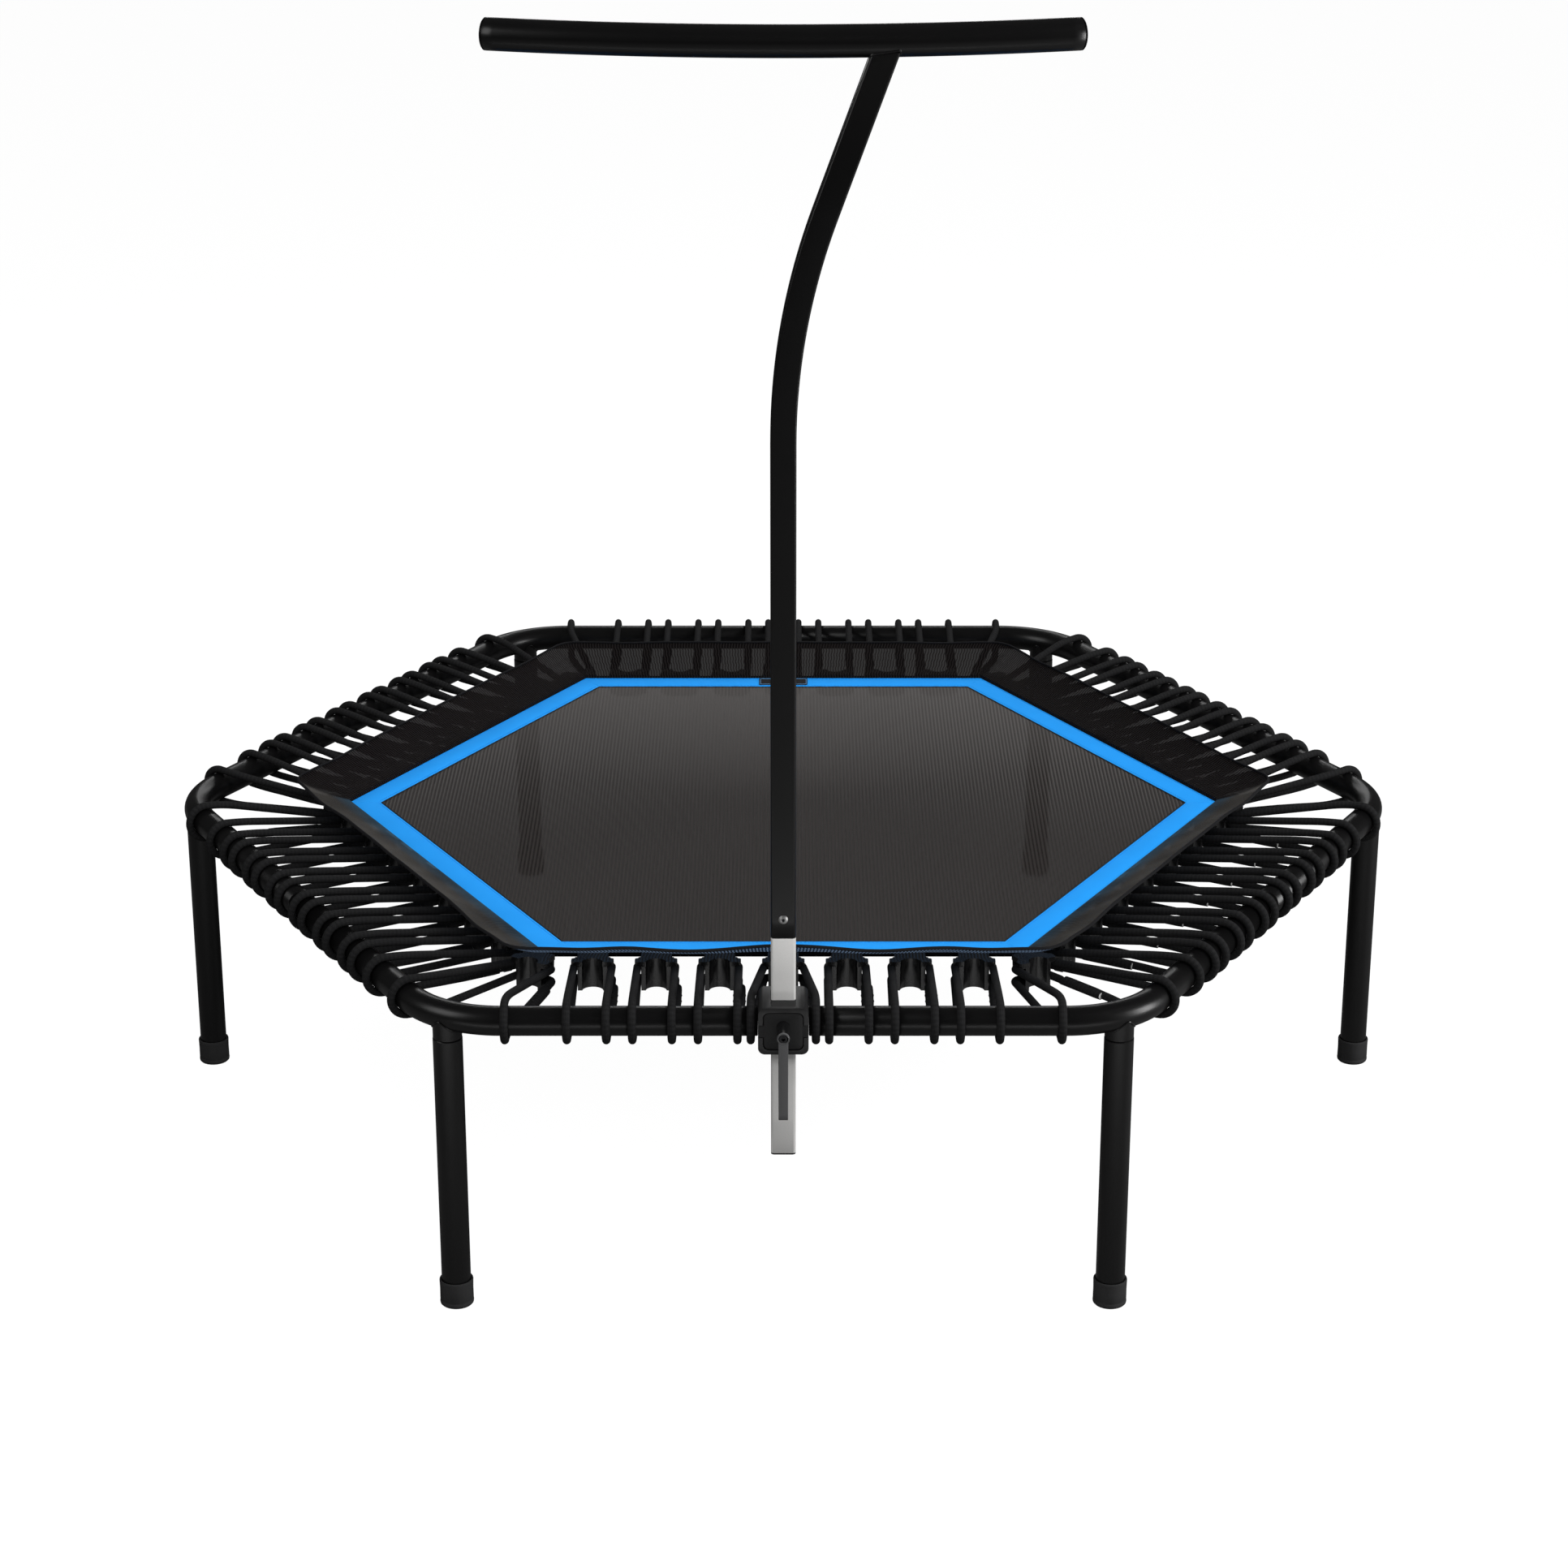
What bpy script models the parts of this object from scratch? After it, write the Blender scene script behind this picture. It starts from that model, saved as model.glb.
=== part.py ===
"""Mini trampoline: hexagonal tube frame on six legs, bungee-hung jump mat, and a height-adjustable T-handle.

Metres, +Z up. The origin is the centre of the jump mat's top surface, and the handle stands on the -Y side.
"""

import math

import bmesh
import bpy
from mathutils import Matrix, Vector

# ---- Driving dimensions -------------------------------------------------------------------------

GAP = 0.0003

# Heights: the mat's top surface is the origin plane
MAT_HEIGHT = 0.3115
MAT_Z = 0.0
FLOOR_Z = MAT_Z - MAT_HEIGHT
FRAME_Z = MAT_Z - 0.0003

# Frame: a round tube bent to a hexagon, corners on the +X axis and every 60 degrees
TUBE_R = 0.0144
TUBE_WALL = 0.0015
FRAME_APOTHEM = 0.5712
BEND_R = 0.1057
SECTION_GAP = 0.0016
SPIGOT_LENGTH = 0.12

# What fits inside a round tube whose bore has twelve flat sides
INSIDE_TUBE_R = (TUBE_R - TUBE_WALL) * math.cos(math.radians(15)) - GAP

# Legs
LEG_RADIUS = (FRAME_APOTHEM - BEND_R) / math.cos(math.radians(30)) + BEND_R
STUB_BOTTOM = FRAME_Z - 0.023
FOOT_R = 0.0165
FOOT_HEIGHT = 0.0275
FOOT_SOLE = 0.005
THREAD_R = 0.0048
STUD_REACH = 0.014
STUD_PLUG = 0.020

# Mat, band, skirt and hem, as apothems of nested hexagons
BAND_INNER = 0.3837
BAND_OUTER = 0.4136
MAT_THICK = 0.0022
MAT_RIM_DROP = 0.0010
BAND_THICK = 0.0014
HEM_APOTHEM = 0.4655
HEM_RISE = 0.0290
HEM_R = 0.0028
HEM_CORNER_R = 0.030
SKIRT_THICK = 0.0010
LABEL_SIZE = (0.058, 0.0225, 0.0008)

# Clips on the mat's edge, measured outward from the band's outer edge
CLIP_PITCH = 0.0628
CLIPS_EACH_SIDE = 3
WEBBING_IN = 0.0006
WEBBING_OUT = 0.0022
CLIP_EAR_IN = 0.0171
CLIP_FRONT = 0.0271
CLIP_BACK = 0.0154
CLIP_PLATE_HALF = 0.010
CLIP_EAR_HALF = 0.021
CLIP_BLOCK_HALF = 0.0145
CLIP_BOTTOM = -0.028
CLIP_TOP = 0.0028
CLIP_NECK_OUT = 0.0052
CLIP_NECK_HALF = 0.0148
CLIP_NECK_BOTTOM = -0.016

# Bungee cord
CORD_R = 0.0040
CORD_PITCH = 0.0624
CORD_BACK = CLIP_BACK - GAP - CORD_R
CORD_HALF_AT_CLIP = 0.0188
CORD_HALF_AT_TUBE = 0.0188
CORD_HALF_AT_HOUSING = 0.0325
CORD_CORNER_S = 0.265
CORD_UPPER_Z = -0.0078
CORD_LOWER_Z = -0.0208
WRAP_ANGLES = (78, 26, -26, -78)

# Handle post and its clamp
POST_W = 0.0237
POST_WALL = 0.0018
POST_CORNER = 0.0022
POST_Y = -(FRAME_APOTHEM - 0.0076)
POST_CLEARANCE = 0.0004
POST_BOTTOM = MAT_Z - 0.139
POST_SEAM = MAT_Z + 0.0864
POST_BEND_START = MAT_Z + 0.5664
POST_BEND_R = 0.603
POST_BEND_ANGLE = math.radians(20.1)
POST_SPIGOT_REACH = 0.050
BOLT_Z = MAT_Z + 0.1062
BOLT_HEAD_R = 0.0045
BOLT_SHANK_R = 0.0028

# Handlebar
BAR_Z = MAT_Z + 0.9242
BAR_HALF_LENGTH = 0.2588
BAR_SWEEP = 0.0395
BAR_PLUG = 0.003

# Clamp housing and lever
HOUSING_W = 0.048
HOUSING_CORNER = 0.0065
HOUSING_FRONT = POST_Y - POST_W / 2 - 0.0207
HOUSING_DEPTH = 0.0528
LEVER_Z = FRAME_Z + 0.005
CAP_W = 0.0390
CAP_DEPTH = 0.0055
CAP_TAB_H = 0.013
INSERT_R = 0.0070
INSERT_LENGTH = 0.0070
SHOE_LENGTH = 0.0040
STUD_R = 0.0038
HUB_R = 0.0059
HUB_LENGTH = 0.0277
HUB_BORE_R = 0.0046
HUB_WEB = 0.003
HUB_FRONT_BORE = 0.0125
SCREW_HEAD = 0.0035
SCREW_HEAD_R = 0.0041
SCREW_SHANK_R = 0.0020
ARM_LENGTH = 0.0844
ARM_W = 0.0092
ARM_THICK = 0.0050

SIDES = {"right_back": 30, "back": 90, "left_back": 150, "left_front": 210, "front": 270, "right_front": 330}
CORNERS = {"right": 0, "back_right": 60, "back_left": 120, "left": 180, "front_left": 240, "front_right": 300}

COLOURS = {
    "black_paint": ((0.012, 0.012, 0.013), 0.32, 0.0),
    "silver_paint": ((0.50, 0.49, 0.48), 0.38, 0.6),
    "steel": ((0.62, 0.62, 0.63), 0.28, 1.0),
    "black_plastic": ((0.014, 0.014, 0.015), 0.50, 0.0),
    "lever_grey": ((0.065, 0.065, 0.068), 0.45, 0.0),
    "rubber": ((0.028, 0.028, 0.029), 0.75, 0.0),
    "cord": ((0.022, 0.022, 0.023), 0.85, 0.0),
    "mat_mesh": ((0.085, 0.075, 0.070), 0.80, 0.0),
    "band_blue": ((0.032, 0.365, 0.980), 0.70, 0.0),
    "skirt_mesh": ((0.030, 0.030, 0.030), 0.85, 0.0),
    "hem_fabric": ((0.080, 0.080, 0.082), 0.85, 0.0),
    "label_fabric": ((0.010, 0.010, 0.011), 0.80, 0.0),
}


# ---- Scene helpers ------------------------------------------------------------------------------


def clear_scene():
    for obj in list(bpy.data.objects):
        bpy.data.objects.remove(obj, do_unlink=True)


def new_collection(name):
    collection = bpy.data.collections.new(name)
    bpy.context.scene.collection.children.link(collection)
    return collection


def make_material(name, colour, roughness, metallic):
    material = bpy.data.materials.new(name)
    material.use_nodes = True
    shader = material.node_tree.nodes["Principled BSDF"]
    shader.inputs["Base Color"].default_value = (*colour, 1.0)
    shader.inputs["Roughness"].default_value = roughness
    shader.inputs["Metallic"].default_value = metallic
    return material


clear_scene()
PARTS = new_collection("mini_trampoline")
CUTTERS = new_collection("cutters")
MATERIALS = {name: make_material(name, *values) for name, values in COLOURS.items()}


def add_object(name, data, material=None):
    """A visible part when it has a material, or else a hidden cutter or guide."""
    obj = bpy.data.objects.new(name, data)
    if material:
        PARTS.objects.link(obj)
        data.materials.clear()
        data.materials.append(MATERIALS[material])
    else:
        CUTTERS.objects.link(obj)
        obj.hide_render = True
        obj.display_type = "WIRE"
    return obj


def boolean(target, tool, operation="DIFFERENCE"):
    modifier = target.modifiers.new(operation.lower(), "BOOLEAN")
    modifier.operation = operation
    modifier.object = tool
    return target


def bevel(obj, width, segments=2):
    modifier = obj.modifiers.new("bevel", "BEVEL")
    modifier.width = width
    modifier.segments = segments
    modifier.limit_method = "ANGLE"
    modifier.angle_limit = math.radians(40)
    return obj


# ---- Shape helpers ------------------------------------------------------------------------------


def box(name, low, high, material=None):
    """A box between two corners, with its origin at its centre."""
    low = Vector(low)
    high = Vector(high)
    shape = bmesh.new()
    bmesh.ops.create_cube(shape, size=1.0, matrix=Matrix.Diagonal((*(high - low), 1.0)))
    mesh = bpy.data.meshes.new(name)
    shape.to_mesh(mesh)
    shape.free()
    obj = add_object(name, mesh, material)
    obj.location = (low + high) / 2
    return obj


def rod(name, radius, low, high, segments=16, material=None):
    """A cylinder along Z between two heights, on the local Z axis."""
    shape = bmesh.new()
    centre = Matrix.Translation((0, 0, (low + high) / 2))
    bmesh.ops.create_cone(
        shape,
        cap_ends=True,
        segments=segments,
        radius1=radius,
        radius2=radius,
        depth=high - low,
        matrix=centre,
    )
    mesh = bpy.data.meshes.new(name)
    shape.to_mesh(mesh)
    shape.free()
    return add_object(name, mesh, material)


def turned(name, profile, material=None, segments=16, ring=False):
    """Turns (radius, height) points about Z, given down the outer side. A ring's profile closes on itself."""
    shape = bmesh.new()
    points = [shape.verts.new((radius, 0, height)) for radius, height in profile]
    for first, second in zip(points, points[1:]):
        shape.edges.new((first, second))
    if ring:
        shape.edges.new((points[-1], points[0]))
    mesh = bpy.data.meshes.new(name)
    shape.to_mesh(mesh)
    shape.free()
    obj = add_object(name, mesh, material)
    screw = obj.modifiers.new("turn", "SCREW")
    screw.steps = segments
    screw.render_steps = segments
    screw.use_merge_vertices = True
    screw.merge_threshold = 0.00001
    return obj


def poly_curve(name, points, cyclic=False, flat=False):
    curve = bpy.data.curves.new(name, "CURVE")
    curve.dimensions = "2D" if flat else "3D"
    spline = curve.splines.new("POLY")
    spline.points.add(len(points) - 1)
    for point, place in zip(spline.points, points):
        point.co = (*place, 1.0)
    spline.use_cyclic_u = cyclic
    return curve


def as_mesh(name, curve, material=None):
    """Turns a curve into a closed mesh object."""
    guide = add_object(name + "_guide", curve)
    bpy.context.view_layer.update()
    mesh = bpy.data.meshes.new_from_object(guide.evaluated_get(bpy.context.evaluated_depsgraph_get()))
    place = guide.matrix_world.copy()
    bpy.data.objects.remove(guide)
    shape = bmesh.new()
    shape.from_mesh(mesh)
    bmesh.ops.remove_doubles(shape, verts=shape.verts, dist=0.000005)
    bmesh.ops.recalc_face_normals(shape, faces=shape.faces)
    shape.to_mesh(mesh)
    shape.free()
    obj = add_object(name, mesh, material)
    obj.matrix_world = place
    return obj


def round_bar(name, points, radius, resolution=4, material=None, cyclic=False):
    """A solid round bar that follows the points, with 2 * resolution + 4 sides."""
    curve = poly_curve(name, points, cyclic)
    curve.bevel_depth = radius
    curve.bevel_resolution = resolution
    curve.use_fill_caps = not cyclic
    return as_mesh(name, curve, material)


def square_outline(half, corner):
    """A square with its corners cut, as points in the XY plane."""
    inner = half - corner
    mid = half - corner * (1 - math.sqrt(0.5))
    quarter = [(half, inner), (mid, mid), (inner, half)]
    points = []
    for turn in range(4):
        spin = Matrix.Rotation(math.radians(90 * turn), 2)
        points += [(*(spin @ Vector(point)), 0) for point in quarter]
    return points


def square_bar(name, points, width, corner, material=None):
    """A solid square bar that follows points in the XZ plane."""
    outline = poly_curve(name + "_profile", square_outline(width / 2, corner), True, True)
    profile = add_object(name + "_profile", outline)
    curve = poly_curve(name, points)
    curve.bevel_mode = "OBJECT"
    curve.bevel_object = profile
    curve.use_fill_caps = True
    curve.twist_mode = "MINIMUM"
    bar = as_mesh(name, curve, material)
    bpy.data.objects.remove(profile)
    return bar


def plate(name, outlines, low, high, material=None):
    """A flat plate between two heights. Outlines after the first are holes."""
    curve = poly_curve(name, outlines[0], True, True)
    for outline in outlines[1:]:
        spline = curve.splines.new("POLY")
        spline.points.add(len(outline) - 1)
        for point, place in zip(spline.points, outline):
            point.co = (*place, 1.0)
        spline.use_cyclic_u = True
    curve.fill_mode = "BOTH"
    curve.extrude = (high - low) / 2
    obj = as_mesh(name, curve, material)
    obj.location.z = (low + high) / 2
    return obj


# ---- Places on the hexagon ----------------------------------------------------------------------


def directions(azimuth):
    """Outward and anticlockwise unit vectors for a side or corner."""
    angle = math.radians(azimuth)
    outward = Vector((math.cos(angle), math.sin(angle), 0))
    along = Vector((-math.sin(angle), math.cos(angle), 0))
    return outward, along


def hexagon(apothem, corner_r=0.0, steps=2):
    """A hexagon's outline, with arcs of corner_r at its corners."""
    points = []
    for azimuth in range(0, 360, 60):
        centre = directions(azimuth)[0] * (apothem - corner_r) / math.cos(math.radians(30))
        if corner_r == 0:
            points.append(tuple(centre))
            continue
        for step in range(steps + 1):
            outward = directions(azimuth - 30 + 60 * step / steps)[0]
            points.append(tuple(centre + outward * corner_r))
    return points


def frame_place(side_azimuth, distance):
    """The frame's centre-line point at a distance along a side from its middle, and the outward direction."""
    outward, along = directions(side_azimuth)
    straight = (FRAME_APOTHEM - BEND_R) * math.tan(math.radians(30))
    if abs(distance) <= straight:
        return outward * FRAME_APOTHEM + along * distance, outward
    sign = math.copysign(1, distance)
    turn = (abs(distance) - straight) / BEND_R
    radial = directions(side_azimuth + sign * math.degrees(turn))[0]
    centre = outward * (FRAME_APOTHEM - BEND_R) + along * sign * straight
    return centre + radial * BEND_R, radial


def bend_points(corner_azimuth, backwards=False):
    """The centre-line of one frame corner."""
    centre = directions(corner_azimuth)[0] * (FRAME_APOTHEM - BEND_R) / math.cos(math.radians(30))
    steps = 6
    points = []
    for step in range(steps + 1):
        turn = -30 + 60 * step / steps
        points.append(centre + directions(corner_azimuth + (-turn if backwards else turn))[0] * BEND_R)
    return points


# ---- Frame --------------------------------------------------------------------------------------


def frame_tube(name, start, corners, end, backwards):
    """One hollow frame tube with a leg stub welded under each of its corners."""
    points = [start]
    for azimuth in corners:
        points += bend_points(azimuth, backwards)
    points.append(end)
    points = [Vector((point.x, point.y, FRAME_Z)) for point in points]
    tube = round_bar(name, points, TUBE_R, material="black_paint")
    for azimuth in corners:
        stub = rod(f"{name}_stub_{azimuth}", TUBE_R - 0.0003, STUB_BOTTOM, FRAME_Z - 0.003)
        stub.location = directions(azimuth)[0] * LEG_RADIUS
        boolean(tube, stub, "UNION")
    first = points[0] + (points[0] - points[1]).normalized() * 0.01
    last = points[-1] + (points[-1] - points[-2]).normalized() * 0.01
    bore = round_bar(name + "_bore", [first, *points[1:-1], last], TUBE_R - TUBE_WALL)
    boolean(tube, bore)
    for azimuth in corners:
        thread = rod(f"{name}_thread_{azimuth}", THREAD_R + GAP, STUB_BOTTOM - 0.01, FRAME_Z - 0.005, 12)
        thread.location = directions(azimuth)[0] * LEG_RADIUS
        boolean(tube, thread)
    return tube


def section_joint(azimuth, side):
    """A frame section's end point, on the given side (+1 anticlockwise) of the joint at mid-side."""
    return frame_place(azimuth, side * SECTION_GAP / 2)[0]


def build_frame():
    frame_tube("frame_section_left", section_joint(90, 1), (120, 180), section_joint(210, -1), False)
    frame_tube("frame_section_right", section_joint(90, -1), (60, 0), section_joint(330, 1), True)
    housing_side = HOUSING_W / 2 + GAP
    left_end = Vector((-housing_side, -FRAME_APOTHEM, 0))
    right_end = Vector((housing_side, -FRAME_APOTHEM, 0))
    frame_tube("frame_tube_front_left", section_joint(210, 1), (240,), left_end, False)
    frame_tube("frame_tube_front_right", section_joint(330, -1), (300,), right_end, True)
    radius = INSIDE_TUBE_R
    profile = [
        (radius, SPIGOT_LENGTH / 2),
        (radius, -SPIGOT_LENGTH / 2),
        (radius - 0.002, -SPIGOT_LENGTH / 2),
        (radius - 0.002, SPIGOT_LENGTH / 2),
    ]
    for name, azimuth in (("left", 210), ("back", 90), ("right", 330)):
        spigot = turned("frame_spigot_" + name, profile, "steel", 12, ring=True)
        outward = directions(azimuth)[0]
        spigot.location = outward * FRAME_APOTHEM + Vector((0, 0, FRAME_Z))
        spigot.rotation_euler = (math.radians(90), 0, math.radians(azimuth))


# ---- Legs ---------------------------------------------------------------------------------------


def build_leg(name, azimuth):
    """A leg tube, the threaded stud in its top end, and the rubber foot on its bottom end."""
    place = directions(azimuth)[0] * LEG_RADIUS
    top = STUB_BOTTOM - GAP
    bottom = FLOOR_Z + FOOT_SOLE + GAP
    inner = TUBE_R - TUBE_WALL
    tube = turned(
        "leg_" + name,
        [(TUBE_R, top), (TUBE_R, bottom), (inner, bottom), (inner, top)],
        "black_paint",
        ring=True,
    )
    tube.location = place
    plug = inner - GAP
    stud = turned(
        "leg_stud_" + name,
        [
            (0, top + STUD_REACH),
            (THREAD_R - 0.001, top + STUD_REACH),
            (THREAD_R, top + STUD_REACH - 0.001),
            (THREAD_R, top),
            (plug, top),
            (plug, top - STUD_PLUG),
            (0, top - STUD_PLUG),
        ],
        "steel",
        12,
    )
    stud.location = place
    foot = turned(
        "foot_" + name,
        [
            (0, FOOT_SOLE),
            (TUBE_R + GAP, FOOT_SOLE),
            (TUBE_R + GAP, FOOT_HEIGHT),
            (FOOT_R, FOOT_HEIGHT - 0.0005),
            (FOOT_R + 0.0002, 0.0015),
            (FOOT_R - 0.0015, 0),
            (0, 0),
        ],
        "rubber",
    )
    foot.location = place + Vector((0, 0, FLOOR_Z))


# ---- Mat ----------------------------------------------------------------------------------------


def build_mat():
    """The jump mat, with the band sewn on its lowered rim and the label on the band."""
    low = MAT_Z - MAT_THICK
    rim_top = MAT_Z - MAT_RIM_DROP
    mat = plate("jump_mat", [hexagon(BAND_OUTER - GAP)], low, rim_top, "mat_mesh")
    panel = plate("jump_mat_panel", [hexagon(BAND_INNER - GAP)], low + GAP, MAT_Z)
    boolean(mat, panel, "UNION")
    band_low = rim_top + GAP
    band_high = band_low + BAND_THICK
    plate("mat_band", [hexagon(BAND_OUTER), hexagon(BAND_INNER)], band_low, band_high, "band_blue")
    label_low = band_high + GAP
    width, depth, thick = LABEL_SIZE
    middle = (BAND_INNER + BAND_OUTER) / 2
    label_from = (-width / 2, middle - depth / 2, label_low)
    label_to = (width / 2, middle + depth / 2, label_low + thick)
    box("woven_label", label_from, label_to, "label_fabric")
    build_skirt()


def build_skirt():
    """The flared mesh skirt round the mat, and the bound hem along its edge."""
    rings = (
        (BAND_OUTER + 0.0006, MAT_Z + CLIP_TOP + 0.0012, 0.004),
        (HEM_APOTHEM - HEM_R - GAP, MAT_Z + HEM_RISE - 0.0018, HEM_CORNER_R),
    )
    shape = bmesh.new()
    edges = []
    for apothem, height, corner_r in rings:
        verts = [shape.verts.new((x, y, height)) for x, y, _ in hexagon(apothem, corner_r)]
        edges += [shape.edges.new((vert, verts[index - 1])) for index, vert in enumerate(verts)]
    bmesh.ops.bridge_loops(shape, edges=edges)
    bmesh.ops.recalc_face_normals(shape, faces=shape.faces)
    mesh = bpy.data.meshes.new("mat_skirt")
    shape.to_mesh(mesh)
    shape.free()
    skirt = add_object("mat_skirt", mesh, "skirt_mesh")
    solidify = skirt.modifiers.new("thickness", "SOLIDIFY")
    solidify.thickness = SKIRT_THICK
    solidify.offset = 0
    path = [(x, y, MAT_Z + HEM_RISE) for x, y, _ in hexagon(HEM_APOTHEM, HEM_CORNER_R)]
    round_bar("skirt_hem", path, HEM_R, 1, "hem_fabric", cyclic=True)


# ---- Clips and bungee cords ---------------------------------------------------------------------


def clip_mesh():
    """One clip, with local +X outward from the mat's edge, +Y along it and +Z up from the mat's surface."""
    outline = [
        (WEBBING_IN, -CLIP_PLATE_HALF, 0),
        (CLIP_EAR_IN, -CLIP_PLATE_HALF, 0),
        (CLIP_EAR_IN, -CLIP_EAR_HALF, 0),
        (CLIP_FRONT, -CLIP_EAR_HALF, 0),
        (CLIP_FRONT, CLIP_EAR_HALF, 0),
        (CLIP_EAR_IN, CLIP_EAR_HALF, 0),
        (CLIP_EAR_IN, CLIP_PLATE_HALF, 0),
        (WEBBING_IN, CLIP_PLATE_HALF, 0),
    ]
    top = plate("clip_top", [outline], 0.0003, CLIP_TOP)
    low = (CLIP_BACK, -CLIP_BLOCK_HALF, CLIP_BOTTOM)
    high = (CLIP_FRONT - 0.001, CLIP_BLOCK_HALF, CLIP_TOP - 0.001)
    block = box("clip_block", low, high)
    boolean(top, block, "UNION")
    low = (WEBBING_IN + 0.0002, -CLIP_NECK_HALF, CLIP_NECK_BOTTOM)
    high = (CLIP_NECK_OUT, CLIP_NECK_HALF, CLIP_TOP - 0.0005)
    neck = box("clip_neck", low, high)
    boolean(top, neck, "UNION")
    bpy.context.view_layer.update()
    mesh = bpy.data.meshes.new_from_object(top.evaluated_get(bpy.context.evaluated_depsgraph_get()))
    mesh.transform(top.matrix_world)
    for piece in (top, block, neck):
        bpy.data.objects.remove(piece)
    return mesh


def edge_frame(azimuth, distance, corner=False):
    """Maps a clip's local frame to the mat's edge, at a distance from a side's middle or at a corner."""
    outward, along = directions(azimuth)
    reach = BAND_OUTER / math.cos(math.radians(30)) if corner else BAND_OUTER
    origin = outward * reach + along * distance + Vector((0, 0, MAT_Z))
    return Matrix.Translation(origin) @ Matrix.Rotation(math.radians(azimuth), 4, "Z")


def row_places(side_azimuth):
    """The edge frames of a row: its clips from one end to the other, then the corner clip after them."""
    places = []
    for index in range(-CLIPS_EACH_SIDE, CLIPS_EACH_SIDE + 1):
        places.append(edge_frame(side_azimuth, index * CLIP_PITCH))
    places.append(edge_frame(side_azimuth + 30, 0, corner=True))
    return places


def build_clip_row(name, azimuth, mesh):
    """The webbing along one side of the mat with its clips, and the clip at the corner after it."""
    shape = bmesh.new()
    for place in row_places(azimuth):
        clip = mesh.copy()
        clip.transform(place)
        shape.from_mesh(clip)
        bpy.data.meshes.remove(clip)
    joined = bpy.data.meshes.new(name + "_clips")
    shape.to_mesh(joined)
    shape.free()
    clips = add_object(name + "_clips", joined)
    half = (BAND_OUTER + WEBBING_OUT) * math.tan(math.radians(30))
    low = (BAND_OUTER + WEBBING_IN, -half + 0.016, MAT_Z - MAT_THICK)
    high = (BAND_OUTER + WEBBING_OUT, half, MAT_Z + CLIP_TOP)
    row = box("clip_row_" + name, low, high, "black_plastic")
    row.matrix_world = Matrix.Rotation(math.radians(azimuth), 4, "Z") @ Matrix.Translation(row.location)
    boolean(row, clips, "UNION")


def cord_wrap(side_azimuth, distance):
    """Points of one strand over the frame tube and back under it."""
    point, radial = frame_place(side_azimuth, distance)
    step = math.radians(WRAP_ANGLES[0] - WRAP_ANGLES[1]) / 2
    reach = (TUBE_R + GAP + CORD_R) / math.cos(step)
    points = []
    for degrees in WRAP_ANGLES:
        angle = math.radians(degrees)
        rise = Vector((0, 0, FRAME_Z + reach * math.sin(angle)))
        points.append(point + radial * reach * math.cos(angle) + rise)
    return points


def loop_points(place, left, right):
    """One bungee loop: out over the tube, back under it, round behind the clip, and the same way back."""

    def clip_point(across, height):
        return place @ Vector((CORD_BACK, across, height))

    points = [clip_point(-CORD_HALF_AT_CLIP, CORD_UPPER_Z)]
    points += cord_wrap(*left)
    points.append(clip_point(-CORD_HALF_AT_CLIP, CORD_LOWER_Z))
    points.append(clip_point(CORD_HALF_AT_CLIP, CORD_LOWER_Z))
    points += reversed(cord_wrap(*right))
    points.append(clip_point(CORD_HALF_AT_CLIP, CORD_UPPER_Z))
    return points


def build_bungee_row(name, azimuth):
    """The loops of one side as one laced cord, which stands in for its separate closed loops."""
    places = row_places(azimuth)
    points = []
    for index, place in zip(range(-CLIPS_EACH_SIDE, CLIPS_EACH_SIDE + 1), places):
        at_housing = name == "front" and index == 0
        half = CORD_HALF_AT_HOUSING if at_housing else CORD_HALF_AT_TUBE
        middle = index * CORD_PITCH
        points += loop_points(place, (azimuth, middle - half), (azimuth, middle + half))
    points += loop_points(places[-1], (azimuth, CORD_CORNER_S), (azimuth + 60, -CORD_CORNER_S))
    round_bar("bungee_row_" + name, points, CORD_R, 0, "cord")


# ---- Handle -------------------------------------------------------------------------------------


def bar_points(steps=10):
    """The handlebar's centre-line: an arc swept back towards the mat at both ends."""
    radius = (BAR_HALF_LENGTH**2 + BAR_SWEEP**2) / (2 * BAR_SWEEP)
    end_angle = math.asin(BAR_HALF_LENGTH / radius)
    post_x = post_top().x
    middle_y = POST_Y - (radius - math.sqrt(radius**2 - post_x**2))
    points = []
    for step in range(steps + 1):
        angle = end_angle * (2 * step / steps - 1)
        y = middle_y + radius * (1 - math.cos(angle))
        points.append(Vector((radius * math.sin(angle), y, BAR_Z)))
    return points


def post_bend(steps=6):
    """The upper post's bend towards +X."""
    points = []
    for step in range(steps + 1):
        angle = POST_BEND_ANGLE * step / steps
        x = POST_BEND_R * (1 - math.cos(angle))
        points.append(Vector((x, POST_Y, POST_BEND_START + POST_BEND_R * math.sin(angle))))
    return points


def post_top():
    """Where the post's centre-line meets the handlebar's."""
    last = post_bend()[-1]
    rise = BAR_Z - last.z
    return Vector((last.x + rise * math.tan(POST_BEND_ANGLE), POST_Y, BAR_Z))


def square_tube(name, points, material):
    """A hollow square tube, open at both ends."""
    tube = square_bar(name, points, POST_W, POST_CORNER, material)
    first = points[0] + (points[0] - points[1]).normalized() * 0.01
    last = points[-1] + (points[-1] - points[-2]).normalized() * 0.01
    inside = POST_W - 2 * POST_WALL
    bore = square_bar(name + "_bore", [first, *points[1:-1], last], inside, POST_CORNER / 2)
    return boolean(tube, bore)


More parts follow.
